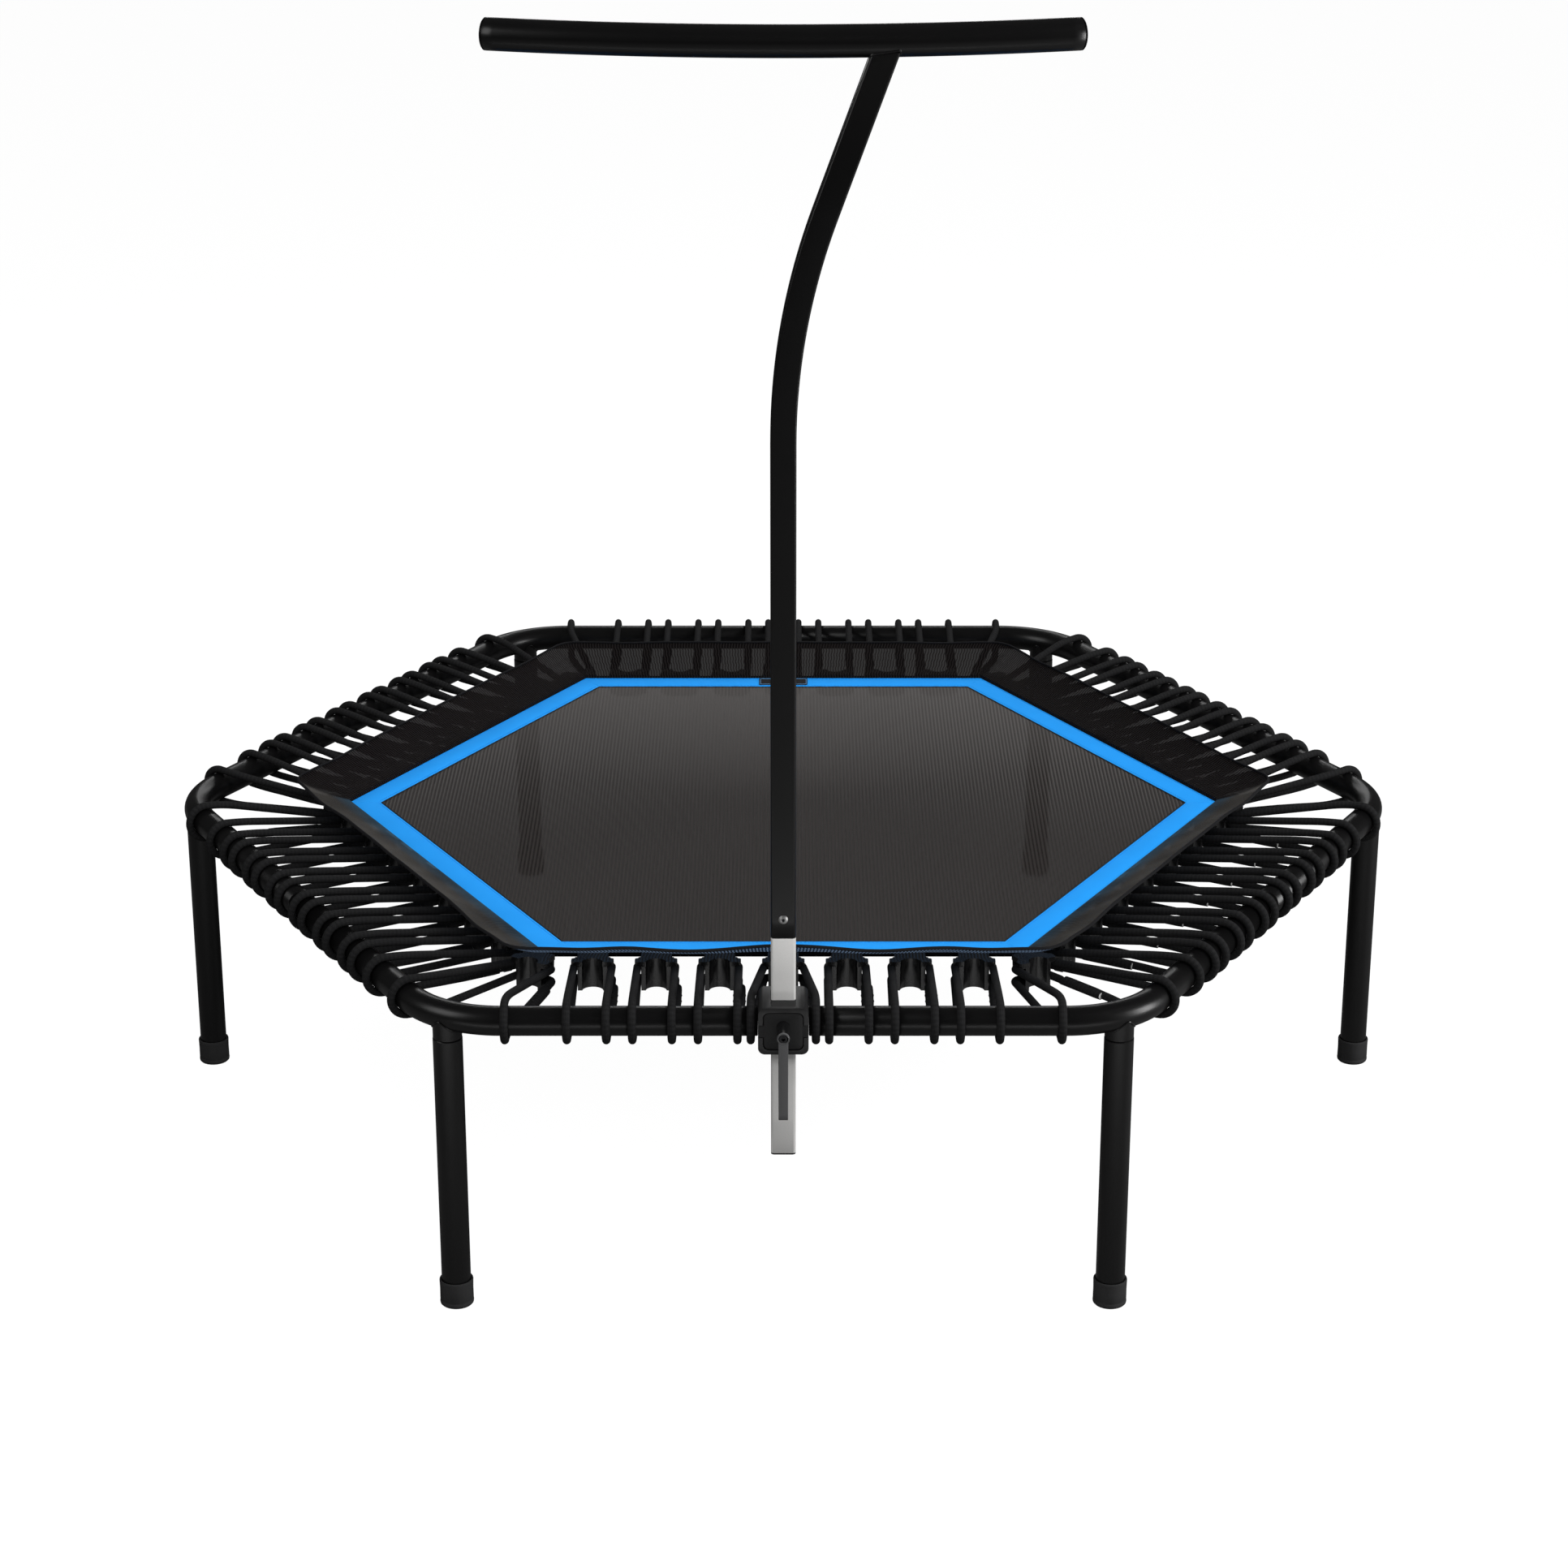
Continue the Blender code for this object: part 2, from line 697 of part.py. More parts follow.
def build_post():
    square_tube("post_lower", post_line(POST_BOTTOM, POST_SEAM), "silver_paint")
    upper_points = [Vector((0, POST_Y, POST_SEAM + GAP)), *post_bend(), post_top()]
    upper = square_tube("post_upper", upper_points, "black_paint")
    seat = round_bar("handlebar_seat", bar_points(), TUBE_R + GAP)
    boolean(upper, seat)
    inside = POST_W - 2 * POST_WALL - 2 * GAP
    spigot_line = post_line(POST_SEAM - POST_SPIGOT_REACH, POST_SEAM + POST_SPIGOT_REACH)
    spigot = square_bar("post_spigot", spigot_line, inside, POST_CORNER / 2, "steel")
    bore = rod("post_spigot_bore", inside / 2 - 0.002, -0.1, 0.1, 12)
    bore.location = (0, POST_Y, POST_SEAM)
    boolean(spigot, bore)
    for target in (upper, spigot):
        hole = rod(target.name + "_bolt_hole", BOLT_SHANK_R + GAP, -0.001, 0.016, 12)
        hole.location = (0, POST_Y, BOLT_Z)
        hole.rotation_euler.x = math.radians(90)
        boolean(target, hole)
    build_post_bolt()
    build_post_plug(inside)


def build_post_bolt():
    """A button-head socket bolt through the upper post's front wall into the spigot."""
    head = POST_W / 2 + GAP
    profile = [
        (0, head + 0.0008),
        (0.0018, head + 0.0008),
        (0.0018, head + 0.0024),
        (0.0028, head + 0.0024),
        (BOLT_HEAD_R - 0.0004, head + 0.0014),
        (BOLT_HEAD_R, head),
        (BOLT_SHANK_R, head),
        (BOLT_SHANK_R, head - 0.0075),
        (0, head - 0.0075),
    ]
    bolt = turned("post_bolt", profile, "steel", 12)
    bolt.location = (0, POST_Y, BOLT_Z)
    bolt.rotation_euler.x = math.radians(90)


def post_line(low, high):
    """A vertical stretch of the post's centre-line between two heights."""
    return [Vector((0, POST_Y, low)), Vector((0, POST_Y, high))]


def build_post_plug(inside):
    """The plastic plug in the lower post's bottom end."""
    head = post_line(POST_BOTTOM - 0.0015, POST_BOTTOM - GAP)
    plug = square_bar("post_bottom_plug", head, POST_W, POST_CORNER, "black_plastic")
    stem_line = post_line(POST_BOTTOM - 0.001, POST_BOTTOM + 0.014)
    stem = square_bar("post_bottom_plug_stem", stem_line, inside, POST_CORNER / 2)
    boolean(plug, stem, "UNION")


def build_handlebar():
    points = bar_points()
    bar = round_bar("handlebar", points, TUBE_R, material="black_paint")
    first = points[0] + (points[0] - points[1]).normalized() * 0.01
    last = points[-1] + (points[-1] - points[-2]).normalized() * 0.01
    bore = round_bar("handlebar_bore", [first, *points[1:-1], last], TUBE_R - TUBE_WALL)
    boolean(bar, bore)
    stem = INSIDE_TUBE_R
    profile = [
        (0, BAR_PLUG),
        (TUBE_R * 0.55, BAR_PLUG - 0.0003),
        (TUBE_R * 0.85, BAR_PLUG - 0.0010),
        (TUBE_R, GAP + 0.0008),
        (TUBE_R, GAP),
        (stem, GAP),
        (stem, -0.012),
        (0, -0.012),
    ]
    for name, place, before in (("left", points[0], points[1]), ("right", points[-1], points[-2])):
        outward = place - before
        plug = turned("bar_plug_" + name, profile, "black_plastic")
        plug.location = place
        plug.rotation_euler = (0, math.radians(90), math.atan2(outward.y, outward.x))


# ---- Clamp --------------------------------------------------------------------------------------


def y_plate(name, half, corner, front, back, material=None):
    """A square plate with rounded corners, standing across Y."""
    obj = plate(name, [square_outline(half, corner)], front, back, material)
    obj.location = (0, 0, 0)
    obj.rotation_euler.x = math.radians(90)
    obj.location = (0, (front + back) / 2, FRAME_Z)
    return obj


def build_housing():
    """The welded clamp housing on the front tube, and the cap in its front."""
    half = HOUSING_W / 2
    back = HOUSING_FRONT + HOUSING_DEPTH
    housing = y_plate("clamp_housing", half, HOUSING_CORNER, HOUSING_FRONT, back, "black_paint")
    clear = POST_W / 2 + POST_CLEARANCE
    low = (-clear, POST_Y - clear, FRAME_Z - 0.05)
    high = (clear, POST_Y + clear, FRAME_Z + 0.05)
    boolean(housing, box("housing_post_way", low, high))
    recess_back = HOUSING_FRONT + CAP_DEPTH
    recess = y_plate("housing_recess", CAP_W / 2, 0.004, HOUSING_FRONT - 0.002, recess_back)
    boolean(housing, recess)
    low = (-half - 0.002, HOUSING_FRONT - 0.002, FRAME_Z - CAP_TAB_H / 2)
    high = (half + 0.002, recess_back, FRAME_Z + CAP_TAB_H / 2)
    boolean(housing, box("housing_tab_slots", low, high))
    bore = rod("housing_bore", INSERT_R + GAP, -0.02, 0.02)
    bore.location = (0, POST_Y - POST_W / 2 - 0.008, LEVER_Z)
    bore.rotation_euler.x = math.radians(90)
    boolean(housing, bore)

    cap_back = recess_back - GAP
    cap = y_plate("housing_front_cap", CAP_W / 2 - GAP, 0.0037, HOUSING_FRONT, cap_back, "black_plastic")
    low = (-half, HOUSING_FRONT + 0.0002, FRAME_Z - CAP_TAB_H / 2 + GAP)
    high = (half, cap_back - 0.0002, FRAME_Z + CAP_TAB_H / 2 - GAP)
    boolean(cap, box("cap_tabs", low, high), "UNION")
    hole = rod("cap_hole", STUD_R + 2 * GAP, -0.02, 0.02, 12)
    hole.location = (0, HOUSING_FRONT, LEVER_Z)
    hole.rotation_euler.x = math.radians(90)
    boolean(cap, hole)


def facing_front(obj, y):
    """Stands a turned piece on the lever's axis, its +Z towards the front."""
    obj.location = (0, y, LEVER_Z)
    obj.rotation_euler.x = math.radians(90)
    return obj


def build_clamp_inside():
    """The threaded insert in the housing wall and the pressure shoe against the post."""
    insert_y = HOUSING_FRONT + CAP_DEPTH + GAP
    inner = STUD_R + GAP
    profile = [(INSERT_R, 0), (INSERT_R, -INSERT_LENGTH), (inner, -INSERT_LENGTH), (inner, 0)]
    facing_front(turned("nut_insert", profile, "steel", 12, ring=True), insert_y)
    shoe_y = POST_Y - POST_W / 2 - GAP
    profile = [
        (0, SHOE_LENGTH),
        (INSERT_R - 0.0005, SHOE_LENGTH),
        (INSERT_R, SHOE_LENGTH - 0.0005),
        (INSERT_R, 0),
        (0, 0),
    ]
    facing_front(turned("pressure_shoe", profile, "steel", 12), shoe_y)


def build_lever():
    """The indexing clamp lever: handle, stud, retaining screw and the spring between screw and handle."""
    hub_back = GAP
    hub_front = hub_back + HUB_LENGTH
    web_front = hub_front - HUB_FRONT_BORE
    web_back = web_front - HUB_WEB
    hub = turned(
        "lever_handle",
        [
            (HUB_BORE_R, hub_front),
            (HUB_R - 0.0006, hub_front),
            (HUB_R, hub_front - 0.0006),
            (HUB_R + 0.0008, hub_back),
            (HUB_BORE_R, hub_back),
            (HUB_BORE_R, web_back),
            (SCREW_SHANK_R + 2 * GAP, web_back),
            (SCREW_SHANK_R + 2 * GAP, web_front),
            (HUB_BORE_R, web_front),
        ],
        "lever_grey",
        ring=True,
    )
    facing_front(hub, HOUSING_FRONT)
    arm_front = HOUSING_FRONT - hub_front
    low = (-ARM_W / 2, arm_front + 0.0002, LEVER_Z - ARM_LENGTH)
    high = (ARM_W / 2, arm_front + ARM_THICK, LEVER_Z - HUB_R + 0.0012)
    arm = bevel(box("lever_arm", low, high), 0.0009, 2)
    boolean(hub, arm, "UNION")

    stud_front = web_back - GAP
    stud_back = HOUSING_FRONT - (POST_Y - POST_W / 2 - GAP - SHOE_LENGTH - GAP)
    thread_bore = SCREW_SHANK_R + GAP
    profile = [
        (0, stud_front - 0.009),
        (thread_bore, stud_front - 0.009),
        (thread_bore, stud_front),
        (HUB_BORE_R - GAP, stud_front),
        (HUB_BORE_R - GAP, hub_back + 0.002),
        (STUD_R, hub_back + 0.002),
        (STUD_R, stud_back),
        (0, stud_back),
    ]
    facing_front(turned("lever_stud", profile, "steel", 12), HOUSING_FRONT)

    head_front = hub_front - 0.0006
    head_back = head_front - SCREW_HEAD
    profile = [
        (0, head_front - 0.002),
        (0.0017, head_front - 0.002),
        (0.0017, head_front),
        (SCREW_HEAD_R - 0.0004, head_front),
        (SCREW_HEAD_R, head_front - 0.0004),
        (SCREW_HEAD_R, head_back),
        (SCREW_SHANK_R, head_back),
        (SCREW_SHANK_R, stud_front - 0.0082),
        (0, stud_front - 0.0082),
    ]
    facing_front(turned("lever_screw", profile, "steel", 12), HOUSING_FRONT)
    build_lever_spring(web_front, head_back)


def build_lever_spring(low, high):
    wire = 0.0004
    coil = 0.0034
    turns = 4
    per_turn = 8
    start = low + wire + GAP
    end = high - wire - GAP
    points = []
    for step in range(turns * per_turn + 1):
        angle = math.radians(360 / per_turn * step)
        height = start + (end - start) * step / (turns * per_turn)
        place = Vector((coil * math.cos(angle), -height, coil * math.sin(angle)))
        points.append(place + Vector((0, HOUSING_FRONT, LEVER_Z)))
    round_bar("lever_spring", points, wire, 0, "steel")


# ---- Assembly -----------------------------------------------------------------------------------

build_frame()
for corner_name, corner_azimuth in CORNERS.items():
    build_leg(corner_name, corner_azimuth)
build_mat()
CLIP = clip_mesh()
for side_name, side_azimuth in SIDES.items():
    build_clip_row(side_name, side_azimuth, CLIP)
    build_bungee_row(side_name, side_azimuth)
build_post()
build_handlebar()
build_housing()
build_clamp_inside()
build_lever()
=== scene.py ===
"""Looks for the mini trampoline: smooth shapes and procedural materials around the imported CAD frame."""

import math

import bmesh
import bpy
from mathutils import Matrix, Vector, noise


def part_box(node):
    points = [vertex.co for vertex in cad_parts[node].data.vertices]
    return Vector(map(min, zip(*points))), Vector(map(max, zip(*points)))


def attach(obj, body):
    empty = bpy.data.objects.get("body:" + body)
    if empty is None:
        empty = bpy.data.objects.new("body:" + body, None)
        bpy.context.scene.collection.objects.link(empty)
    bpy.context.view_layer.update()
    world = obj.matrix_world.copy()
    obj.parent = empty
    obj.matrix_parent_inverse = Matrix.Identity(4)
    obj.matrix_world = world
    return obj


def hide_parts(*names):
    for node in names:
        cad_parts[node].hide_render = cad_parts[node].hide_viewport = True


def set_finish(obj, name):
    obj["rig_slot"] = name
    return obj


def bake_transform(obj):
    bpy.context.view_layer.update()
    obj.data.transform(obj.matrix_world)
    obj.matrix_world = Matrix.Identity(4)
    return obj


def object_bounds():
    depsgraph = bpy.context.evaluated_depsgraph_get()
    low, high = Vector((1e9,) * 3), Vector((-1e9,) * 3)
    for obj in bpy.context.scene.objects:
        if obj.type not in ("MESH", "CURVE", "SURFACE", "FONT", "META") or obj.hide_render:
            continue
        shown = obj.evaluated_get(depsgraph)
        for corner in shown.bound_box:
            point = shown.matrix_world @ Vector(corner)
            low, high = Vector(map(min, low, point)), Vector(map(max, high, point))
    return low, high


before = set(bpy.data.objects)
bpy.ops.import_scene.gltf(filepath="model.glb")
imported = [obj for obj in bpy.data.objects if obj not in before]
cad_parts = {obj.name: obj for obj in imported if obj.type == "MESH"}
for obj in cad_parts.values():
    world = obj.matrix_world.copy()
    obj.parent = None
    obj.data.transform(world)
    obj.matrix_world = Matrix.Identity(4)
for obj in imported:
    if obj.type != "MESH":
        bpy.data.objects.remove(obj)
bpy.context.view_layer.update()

# ---- Sizes read from the frame --------------------------------------------------------------------

GAP = 0.0003
COS30 = math.cos(math.radians(30))
TAN30 = math.tan(math.radians(30))


def middle(node):
    low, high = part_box(node)
    return (low + high) / 2


def size(node):
    low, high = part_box(node)
    return high - low


FLOOR_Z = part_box("foot_right")[0].z
TUBE_R = size("leg_right").x / 2
TUBE_WALL = 0.0015
FRAME_Z = middle("frame_spigot_back").z
FRAME_APOTHEM = middle("frame_spigot_back").y
LEG_RADIUS = middle("leg_right").x
BEND_R = (FRAME_APOTHEM - LEG_RADIUS * COS30) / (1 - COS30)
STUB_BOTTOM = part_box("leg_right")[1].z + GAP
LEG_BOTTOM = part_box("leg_right")[0].z
FOOT_R = size("foot_right").x / 2
FOOT_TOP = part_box("foot_right")[1].z

BAND_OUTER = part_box("mat_band")[1].y
BAND_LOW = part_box("mat_band")[0].z
BAND_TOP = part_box("mat_band")[1].z
BAND_INNER = 2 * middle("woven_label").y - BAND_OUTER
MAT_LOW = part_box("jump_mat")[0].z
MAT_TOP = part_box("jump_mat")[1].z
HEM_R = size("skirt_hem").z / 2
HEM_Z = middle("skirt_hem").z
HEM_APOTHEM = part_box("skirt_hem")[1].y - HEM_R
CLIP_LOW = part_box("clip_row_front")[0].z
CLIP_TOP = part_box("clip_row_front")[1].z
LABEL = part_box("woven_label")

POST_Y = middle("post_lower").y
POST_W = size("post_lower").x
POST_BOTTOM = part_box("post_lower")[0].z
POST_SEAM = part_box("post_lower")[1].z
BOLT_Z = middle("post_bolt").z
BAR_Z = middle("handlebar").z
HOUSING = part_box("clamp_housing")
HOUSING_W = size("clamp_housing").x
LEVER_Z = middle("nut_insert").z
HUB_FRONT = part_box("lever_handle")[0].y
ARM_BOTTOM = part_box("lever_handle")[0].z

SIDES = {"right_back": 30, "back": 90, "left_back": 150, "left_front": 210, "front": 270, "right_front": 330}
CORNERS = {"right": 0, "back_right": 60, "back_left": 120, "left": 180, "front_left": 240, "front_right": 300}
CORNER_AT = {azimuth: name for name, azimuth in CORNERS.items()}
UP = Vector((0, 0, 1))
FRONTWARD = (0, -1, 0)

# ---- Sizes of the details -------------------------------------------------------------------------

CLIP_PITCH = 0.0628
CORD_PITCH = 0.0624
CLIPS_EACH_SIDE = 3
CORD_R = 0.0040
CORD_WRAP_R = TUBE_R + 0.0001 + CORD_R
CORD_BACK = 0.0111
CORD_UPPER_Z = -0.0078
CORD_LOWER_Z = -0.0208
CORD_HALF_AT_CLIP = 0.0188
CORD_HALF_AT_TUBE = 0.0188
CORD_HALF_AT_HOUSING = 0.0310
CORD_CORNER_S = 0.265
CHANNEL_X = 0.0268
CHANNEL_R = 0.0104
CHANNEL_FLATNESS = 0.92
BLOCK_BACK = 0.0156
BLOCK_FRONT = 0.0262
BLOCK_HALF = 0.0148
CORD_START_DEG = 100.2
CORD_END_DEG = -89.2
SPLICE_OUT = 0.050
SPLICE_HALF = 0.026
SPLICE_SIDE = 0.0030
SPLICE_TUCK = 0.0012
CORD_EASE = 0.018
CORD_EASE_SHARE = 0.9
CORD_HOOK_R = 0.0055
CORD_SLACK = 0.008
CRIMP_HALF = 0.007
CRIMP_WIRE = 0.00032
CRIMP_LEAN = 0.0010

HEM_CORNER_R = 0.030
POST_WALL = 0.0018
POST_CORNER = 0.0026
BEND_START = 0.5664
POST_BEND_R = 0.603
POST_BEND = math.radians(20.1)
POST_STRAIGHT_MARK = 0.35
BAR_HALF = 0.2588
BAR_SWEEP = 0.0395
BAR_PLUG = 0.003
CAP_W = 0.0390
CAP_GAP = 0.0005
CAP_DEPTH = 0.0055
CAP_TAB_H = 0.013
SPRING_WIRE = 0.0003
RIB_PITCH = 0.0040
RIB_DEPTH = 0.00025
MAT_WEFT_PITCH = 0.0016
MAT_WARP_PITCH = 0.0010
STITCH_INSET = 0.0027
STITCH_PITCH = 0.0040
STITCH_LENGTH = 0.0030
STITCH_R = 0.00034
HEM_WAVE = 0.0030
HEM_DIP = 0.0035
HEM_WAVE_LENGTH = 0.190
SKIRT_RIB_PITCH = 0.0034
SKIRT_SWAY = 0.0004
SKIRT_SWAY_LENGTH = 0.011
SKIRT_HOLE_PITCH = 0.0011
SKIRT_LEVELS = 10
SKIRT_PER_SIDE = 96
SKIRT_PER_CORNER = 14
SKIRT_TUCK = 0.0010
SKIRT_THICK = 0.0005
SKIRT_SAG = 0.0022
SKIRT_WIDTH = 0.058
# Strength of the painted glow on the skirt's underside, which stands in for light shining through the mesh.
SKIRT_GLOW = 0.55
WEAR_GAIN = 3
WEAR_LIFT = 0.01
FLOOR_GLOW = 0.90
FLOOR_BRIGHTNESS = 1.08
WORLD_LIGHT = 0.05
CAMERA_LENS = 82.25
CAMERA_SHIFT = 0.00044
CAMERA_PLACE = (0, -3.6741, 1.4306)
CAMERA_TILT = math.radians(69.025)
MAT_AIM = (0, 0, 0.1)

# Name, place, aim, width, height, power and whether surfaces reflect it.
LIGHTS = [
    ("key", (2.9, -1.2, 2.6), MAT_AIM, 1.6, 2.0, 105, False),
    ("glint", (2.9, -1.2, 2.6), MAT_AIM, 0.5, 0.5, 6, True),
    ("side", (3.4, -0.9, 0.5), MAT_AIM, 1.0, 1.6, 48, True),
    ("fill", (-3.2, -1.8, 2.2), MAT_AIM, 2.0, 2.0, 30, True),
    ("top", (0, 0.3, 3.6), (0, 0, 0), 2.4, 2.0, 60, False),
    ("front", (0.4, -4.2, 2.9), MAT_AIM, 2.6, 1.2, 120, False),
    ("back_strip", (0, 3.0, 1.4), (0, -0.5, 0), 2.4, 0.35, 9, True),
    ("low_strip", (0, -1.3, FLOOR_Z + 0.03), (0, -0.57, 0), 2.2, 0.10, 1.2, True),
]


# ---- Materials ------------------------------------------------------------------------------------


MATERIALS = {}


class Shader:
    """A named finish: its material, and short helpers for the nodes that the finishes share."""

    def __init__(self, name, colour, roughness, metallic=0.0, specular=0.5):
        self.material = bpy.data.materials.new(name)
        self.material.use_nodes = True
        MATERIALS[name] = self.material
        self.tree = self.material.node_tree
        self.main = self.tree.nodes["Principled BSDF"]
        self.main.inputs["Base Color"].default_value = (*colour, 1.0)
        self.main.inputs["Roughness"].default_value = roughness
        self.main.inputs["Metallic"].default_value = metallic
        self.main.inputs["Specular IOR Level"].default_value = specular
        self.where = self.tree.nodes.new("ShaderNodeTexCoord")

    def add(self, kind, **settings):
        node = self.tree.nodes.new(kind)
        for key, value in settings.items():
            setattr(node, key, value)
        return node

    def link(self, output, target):
        self.tree.links.new(output, target)

    def place(self, uv=False):
        return self.where.outputs["UV" if uv else "Object"]

    def scaled(self, scale, uv=False):
        mapping = self.add("ShaderNodeMapping")
        mapping.inputs["Scale"].default_value = scale
        self.link(self.place(uv), mapping.inputs["Vector"])
        return mapping.outputs["Vector"]

    def noise(self, scale, detail=3.0, rough=0.55, vector=None):
        node = self.add("ShaderNodeTexNoise")
        node.inputs["Scale"].default_value = scale
        node.inputs["Detail"].default_value = detail
        node.inputs["Roughness"].default_value = rough
        self.link(vector or self.place(), node.inputs["Vector"])
        return node.outputs["Fac"]

    def math(self, operation, first, second):
        node = self.add("ShaderNodeMath", operation=operation)
        for slot_index, value in enumerate((first, second)):
            if isinstance(value, (int, float)):
                node.inputs[slot_index].default_value = value
            else:
                self.link(value, node.inputs[slot_index])
        return node.outputs[0]

    def ramp(self, value, low, high, start=0.0, end=1.0):
        """Maps a value between start and end to a number between low and high."""
        node = self.add("ShaderNodeMapRange")
        node.inputs["From Min"].default_value = start
        node.inputs["From Max"].default_value = end
        node.inputs["To Min"].default_value = low
        node.inputs["To Max"].default_value = high
        self.link(value, node.inputs["Value"])
        return node.outputs["Result"]

    def mix(self, value, low, high):
        """A colour between two colours."""
        node = self.add("ShaderNodeMix", data_type="RGBA")
        self.link(value, node.inputs["Factor"])
        for slot_name, colour in (("A", low), ("B", high)):
            target = [item for item in node.inputs if item.name == slot_name and item.type == "RGBA"][0]
            if isinstance(colour, tuple):
                target.default_value = (*colour, 1.0)
            else:
                self.link(colour, target)
        return [item for item in node.outputs if item.type == "RGBA"][0]

    def parts(self, vector):
        """A vector's X, Y and Z."""
        node = self.add("ShaderNodeSeparateXYZ")
        self.link(vector, node.inputs["Vector"])
        return node.outputs["X"], node.outputs["Y"], node.outputs["Z"]

    def sine(self, value):
        return self.math("SINE", value, 0.0)

    def unit(self, value):
        """Turns a value between -1 and 1 into one between 0 and 1."""
        return self.ramp(value, 0.0, 1.0, -1.0, 1.0)

    def stripes(self, value, pitch):
        """A sine wave along a coordinate, between -1 and 1."""
        return self.sine(self.math("MULTIPLY", value, 2 * math.pi / pitch))

    def crossing(self, along, across):
        """Two sets of diagonal ribs that cross, between 0 and 1."""
        one = self.sine(self.math("ADD", along, across))
        other = self.sine(self.math("SUBTRACT", along, across))
        return self.unit(self.math("MULTIPLY", one, other))

    def shallow(self, high, start, end):
        """A number that grows from 0 to high as the surface turns away from the view."""
        node = self.add("ShaderNodeLayerWeight")
        node.inputs["Blend"].default_value = 0.5
        return self.ramp(node.outputs["Facing"], 0.0, high, start, end)

    def colour(self, output):
        self.link(output, self.main.inputs["Base Color"])

    def roughness(self, output):
        self.link(output, self.main.inputs["Roughness"])

    def alpha(self, output):
        self.link(output, self.main.inputs["Alpha"])

    def bump(self, height, distance, strength=1.0):
        node = self.add("ShaderNodeBump")
        node.inputs["Strength"].default_value = strength
        node.inputs["Distance"].default_value = distance
        self.link(height, node.inputs["Height"])
        previous = self.main.inputs["Normal"].links
        if previous:
            self.link(previous[0].from_socket, node.inputs["Normal"])
        self.link(node.outputs["Normal"], self.main.inputs["Normal"])

    def edge_wear(self, colour, light):
        """Lightens the colour along sharp edges, to well above the finish's light tone."""
        worn = tuple(WEAR_GAIN * part + WEAR_LIFT for part in light)
        geometry = self.add("ShaderNodeNewGeometry")
        spots = self.noise(180, 2.0)
        edge = self.ramp(geometry.outputs["Pointiness"], 0.0, 1.0, 0.58, 0.70)
        amount = self.math("MULTIPLY", edge, self.ramp(spots, 0.0, 0.5, 0.35, 0.7))
        return self.mix(amount, colour, worn)


def powder_paint(name, dark, light, rough, sheen_low, sheen_high):
    """Powder coat: fine orange peel, broad variation in sheen and slightly worn edges."""
    shader = Shader(name, dark, rough)
    broad = shader.noise(9, 3.0)
    fine = shader.noise(700, 2.0)
    shader.colour(shader.edge_wear(shader.mix(broad, dark, light), light))
    shader.roughness(shader.ramp(shader.noise(25, 4.0), sheen_low, sheen_high, 0.3, 0.7))
    shader.bump(fine, 0.000002, 0.2)


def silver_paint():
    shader = Shader("silver_paint", (0.56, 0.55, 0.54), 0.42, 0.1)
    grain = shader.noise(900, 2.0)
    cloud = shader.noise(14, 3.0)
    base = shader.mix(cloud, (0.52, 0.515, 0.505), (0.57, 0.565, 0.555))
    shader.colour(shader.mix(shader.ramp(grain, 0.0, 0.30, 0.35, 0.7), base, (0.66, 0.655, 0.645)))
    shader.roughness(shader.ramp(cloud, 0.38, 0.48, 0.3, 0.7))
    shader.bump(grain, 0.00002, 0.4)


def steel(name, dark, light, rough):
    shader = Shader(name, light, rough, 1.0)
    grain = shader.noise(420, 3.0, vector=shader.scaled((1.0, 1.0, 0.15)))
    shader.colour(shader.mix(grain, dark, light))
    shader.roughness(shader.ramp(grain, rough - 0.08, rough + 0.12, 0.3, 0.7))
    shader.bump(grain, 0.00004, 0.4)


def plastic(name, dark, light, rough, specular=0.5, grain_depth=0.00008):
    """Moulded nylon: fine spark texture with faint flow marks."""
    shader = Shader(name, dark, rough, specular=specular)
    flow = shader.noise(40, 4.0)
    grain = shader.noise(1600, 2.0)
    shader.colour(shader.edge_wear(shader.mix(flow, dark, light), light))
    shader.roughness(shader.ramp(flow, rough - 0.07, rough + 0.07, 0.3, 0.7))
    shader.bump(grain, grain_depth, 0.6)


def rubber():
    shader = Shader("rubber", (0.030, 0.030, 0.031), 0.8)
    cloud = shader.noise(60, 4.0)
    shader.colour(shader.mix(cloud, (0.010, 0.010, 0.0105), (0.026, 0.026, 0.0265)))
    shader.roughness(shader.ramp(cloud, 0.70, 0.90, 0.3, 0.7))
    shader.bump(shader.noise(1200, 3.0), 0.00012, 0.6)


def cord():
    """A braided textile sleeve: two sets of strands that cross at an angle round the cord."""
    shader = Shader("cord", (0.020, 0.020, 0.021), 0.85, specular=0.2)
    around = shader.scaled((2500.0, 700.0, 1.0), uv=True)
    along, across, _ = shader.parts(around)
    braid = shader.crossing(along, across)
    fuzz = shader.noise(700, 3.0)
    shade = shader.ramp(braid, 0.25, 1.0)
    base = shader.mix(shade, (0.0045, 0.0045, 0.0047), (0.013, 0.013, 0.0135))
    shader.colour(shader.mix(shader.ramp(fuzz, 0.0, 0.4, 0.45, 0.75), base, (0.016, 0.016, 0.0165)))
    shader.bump(braid, 0.00025, 0.8)


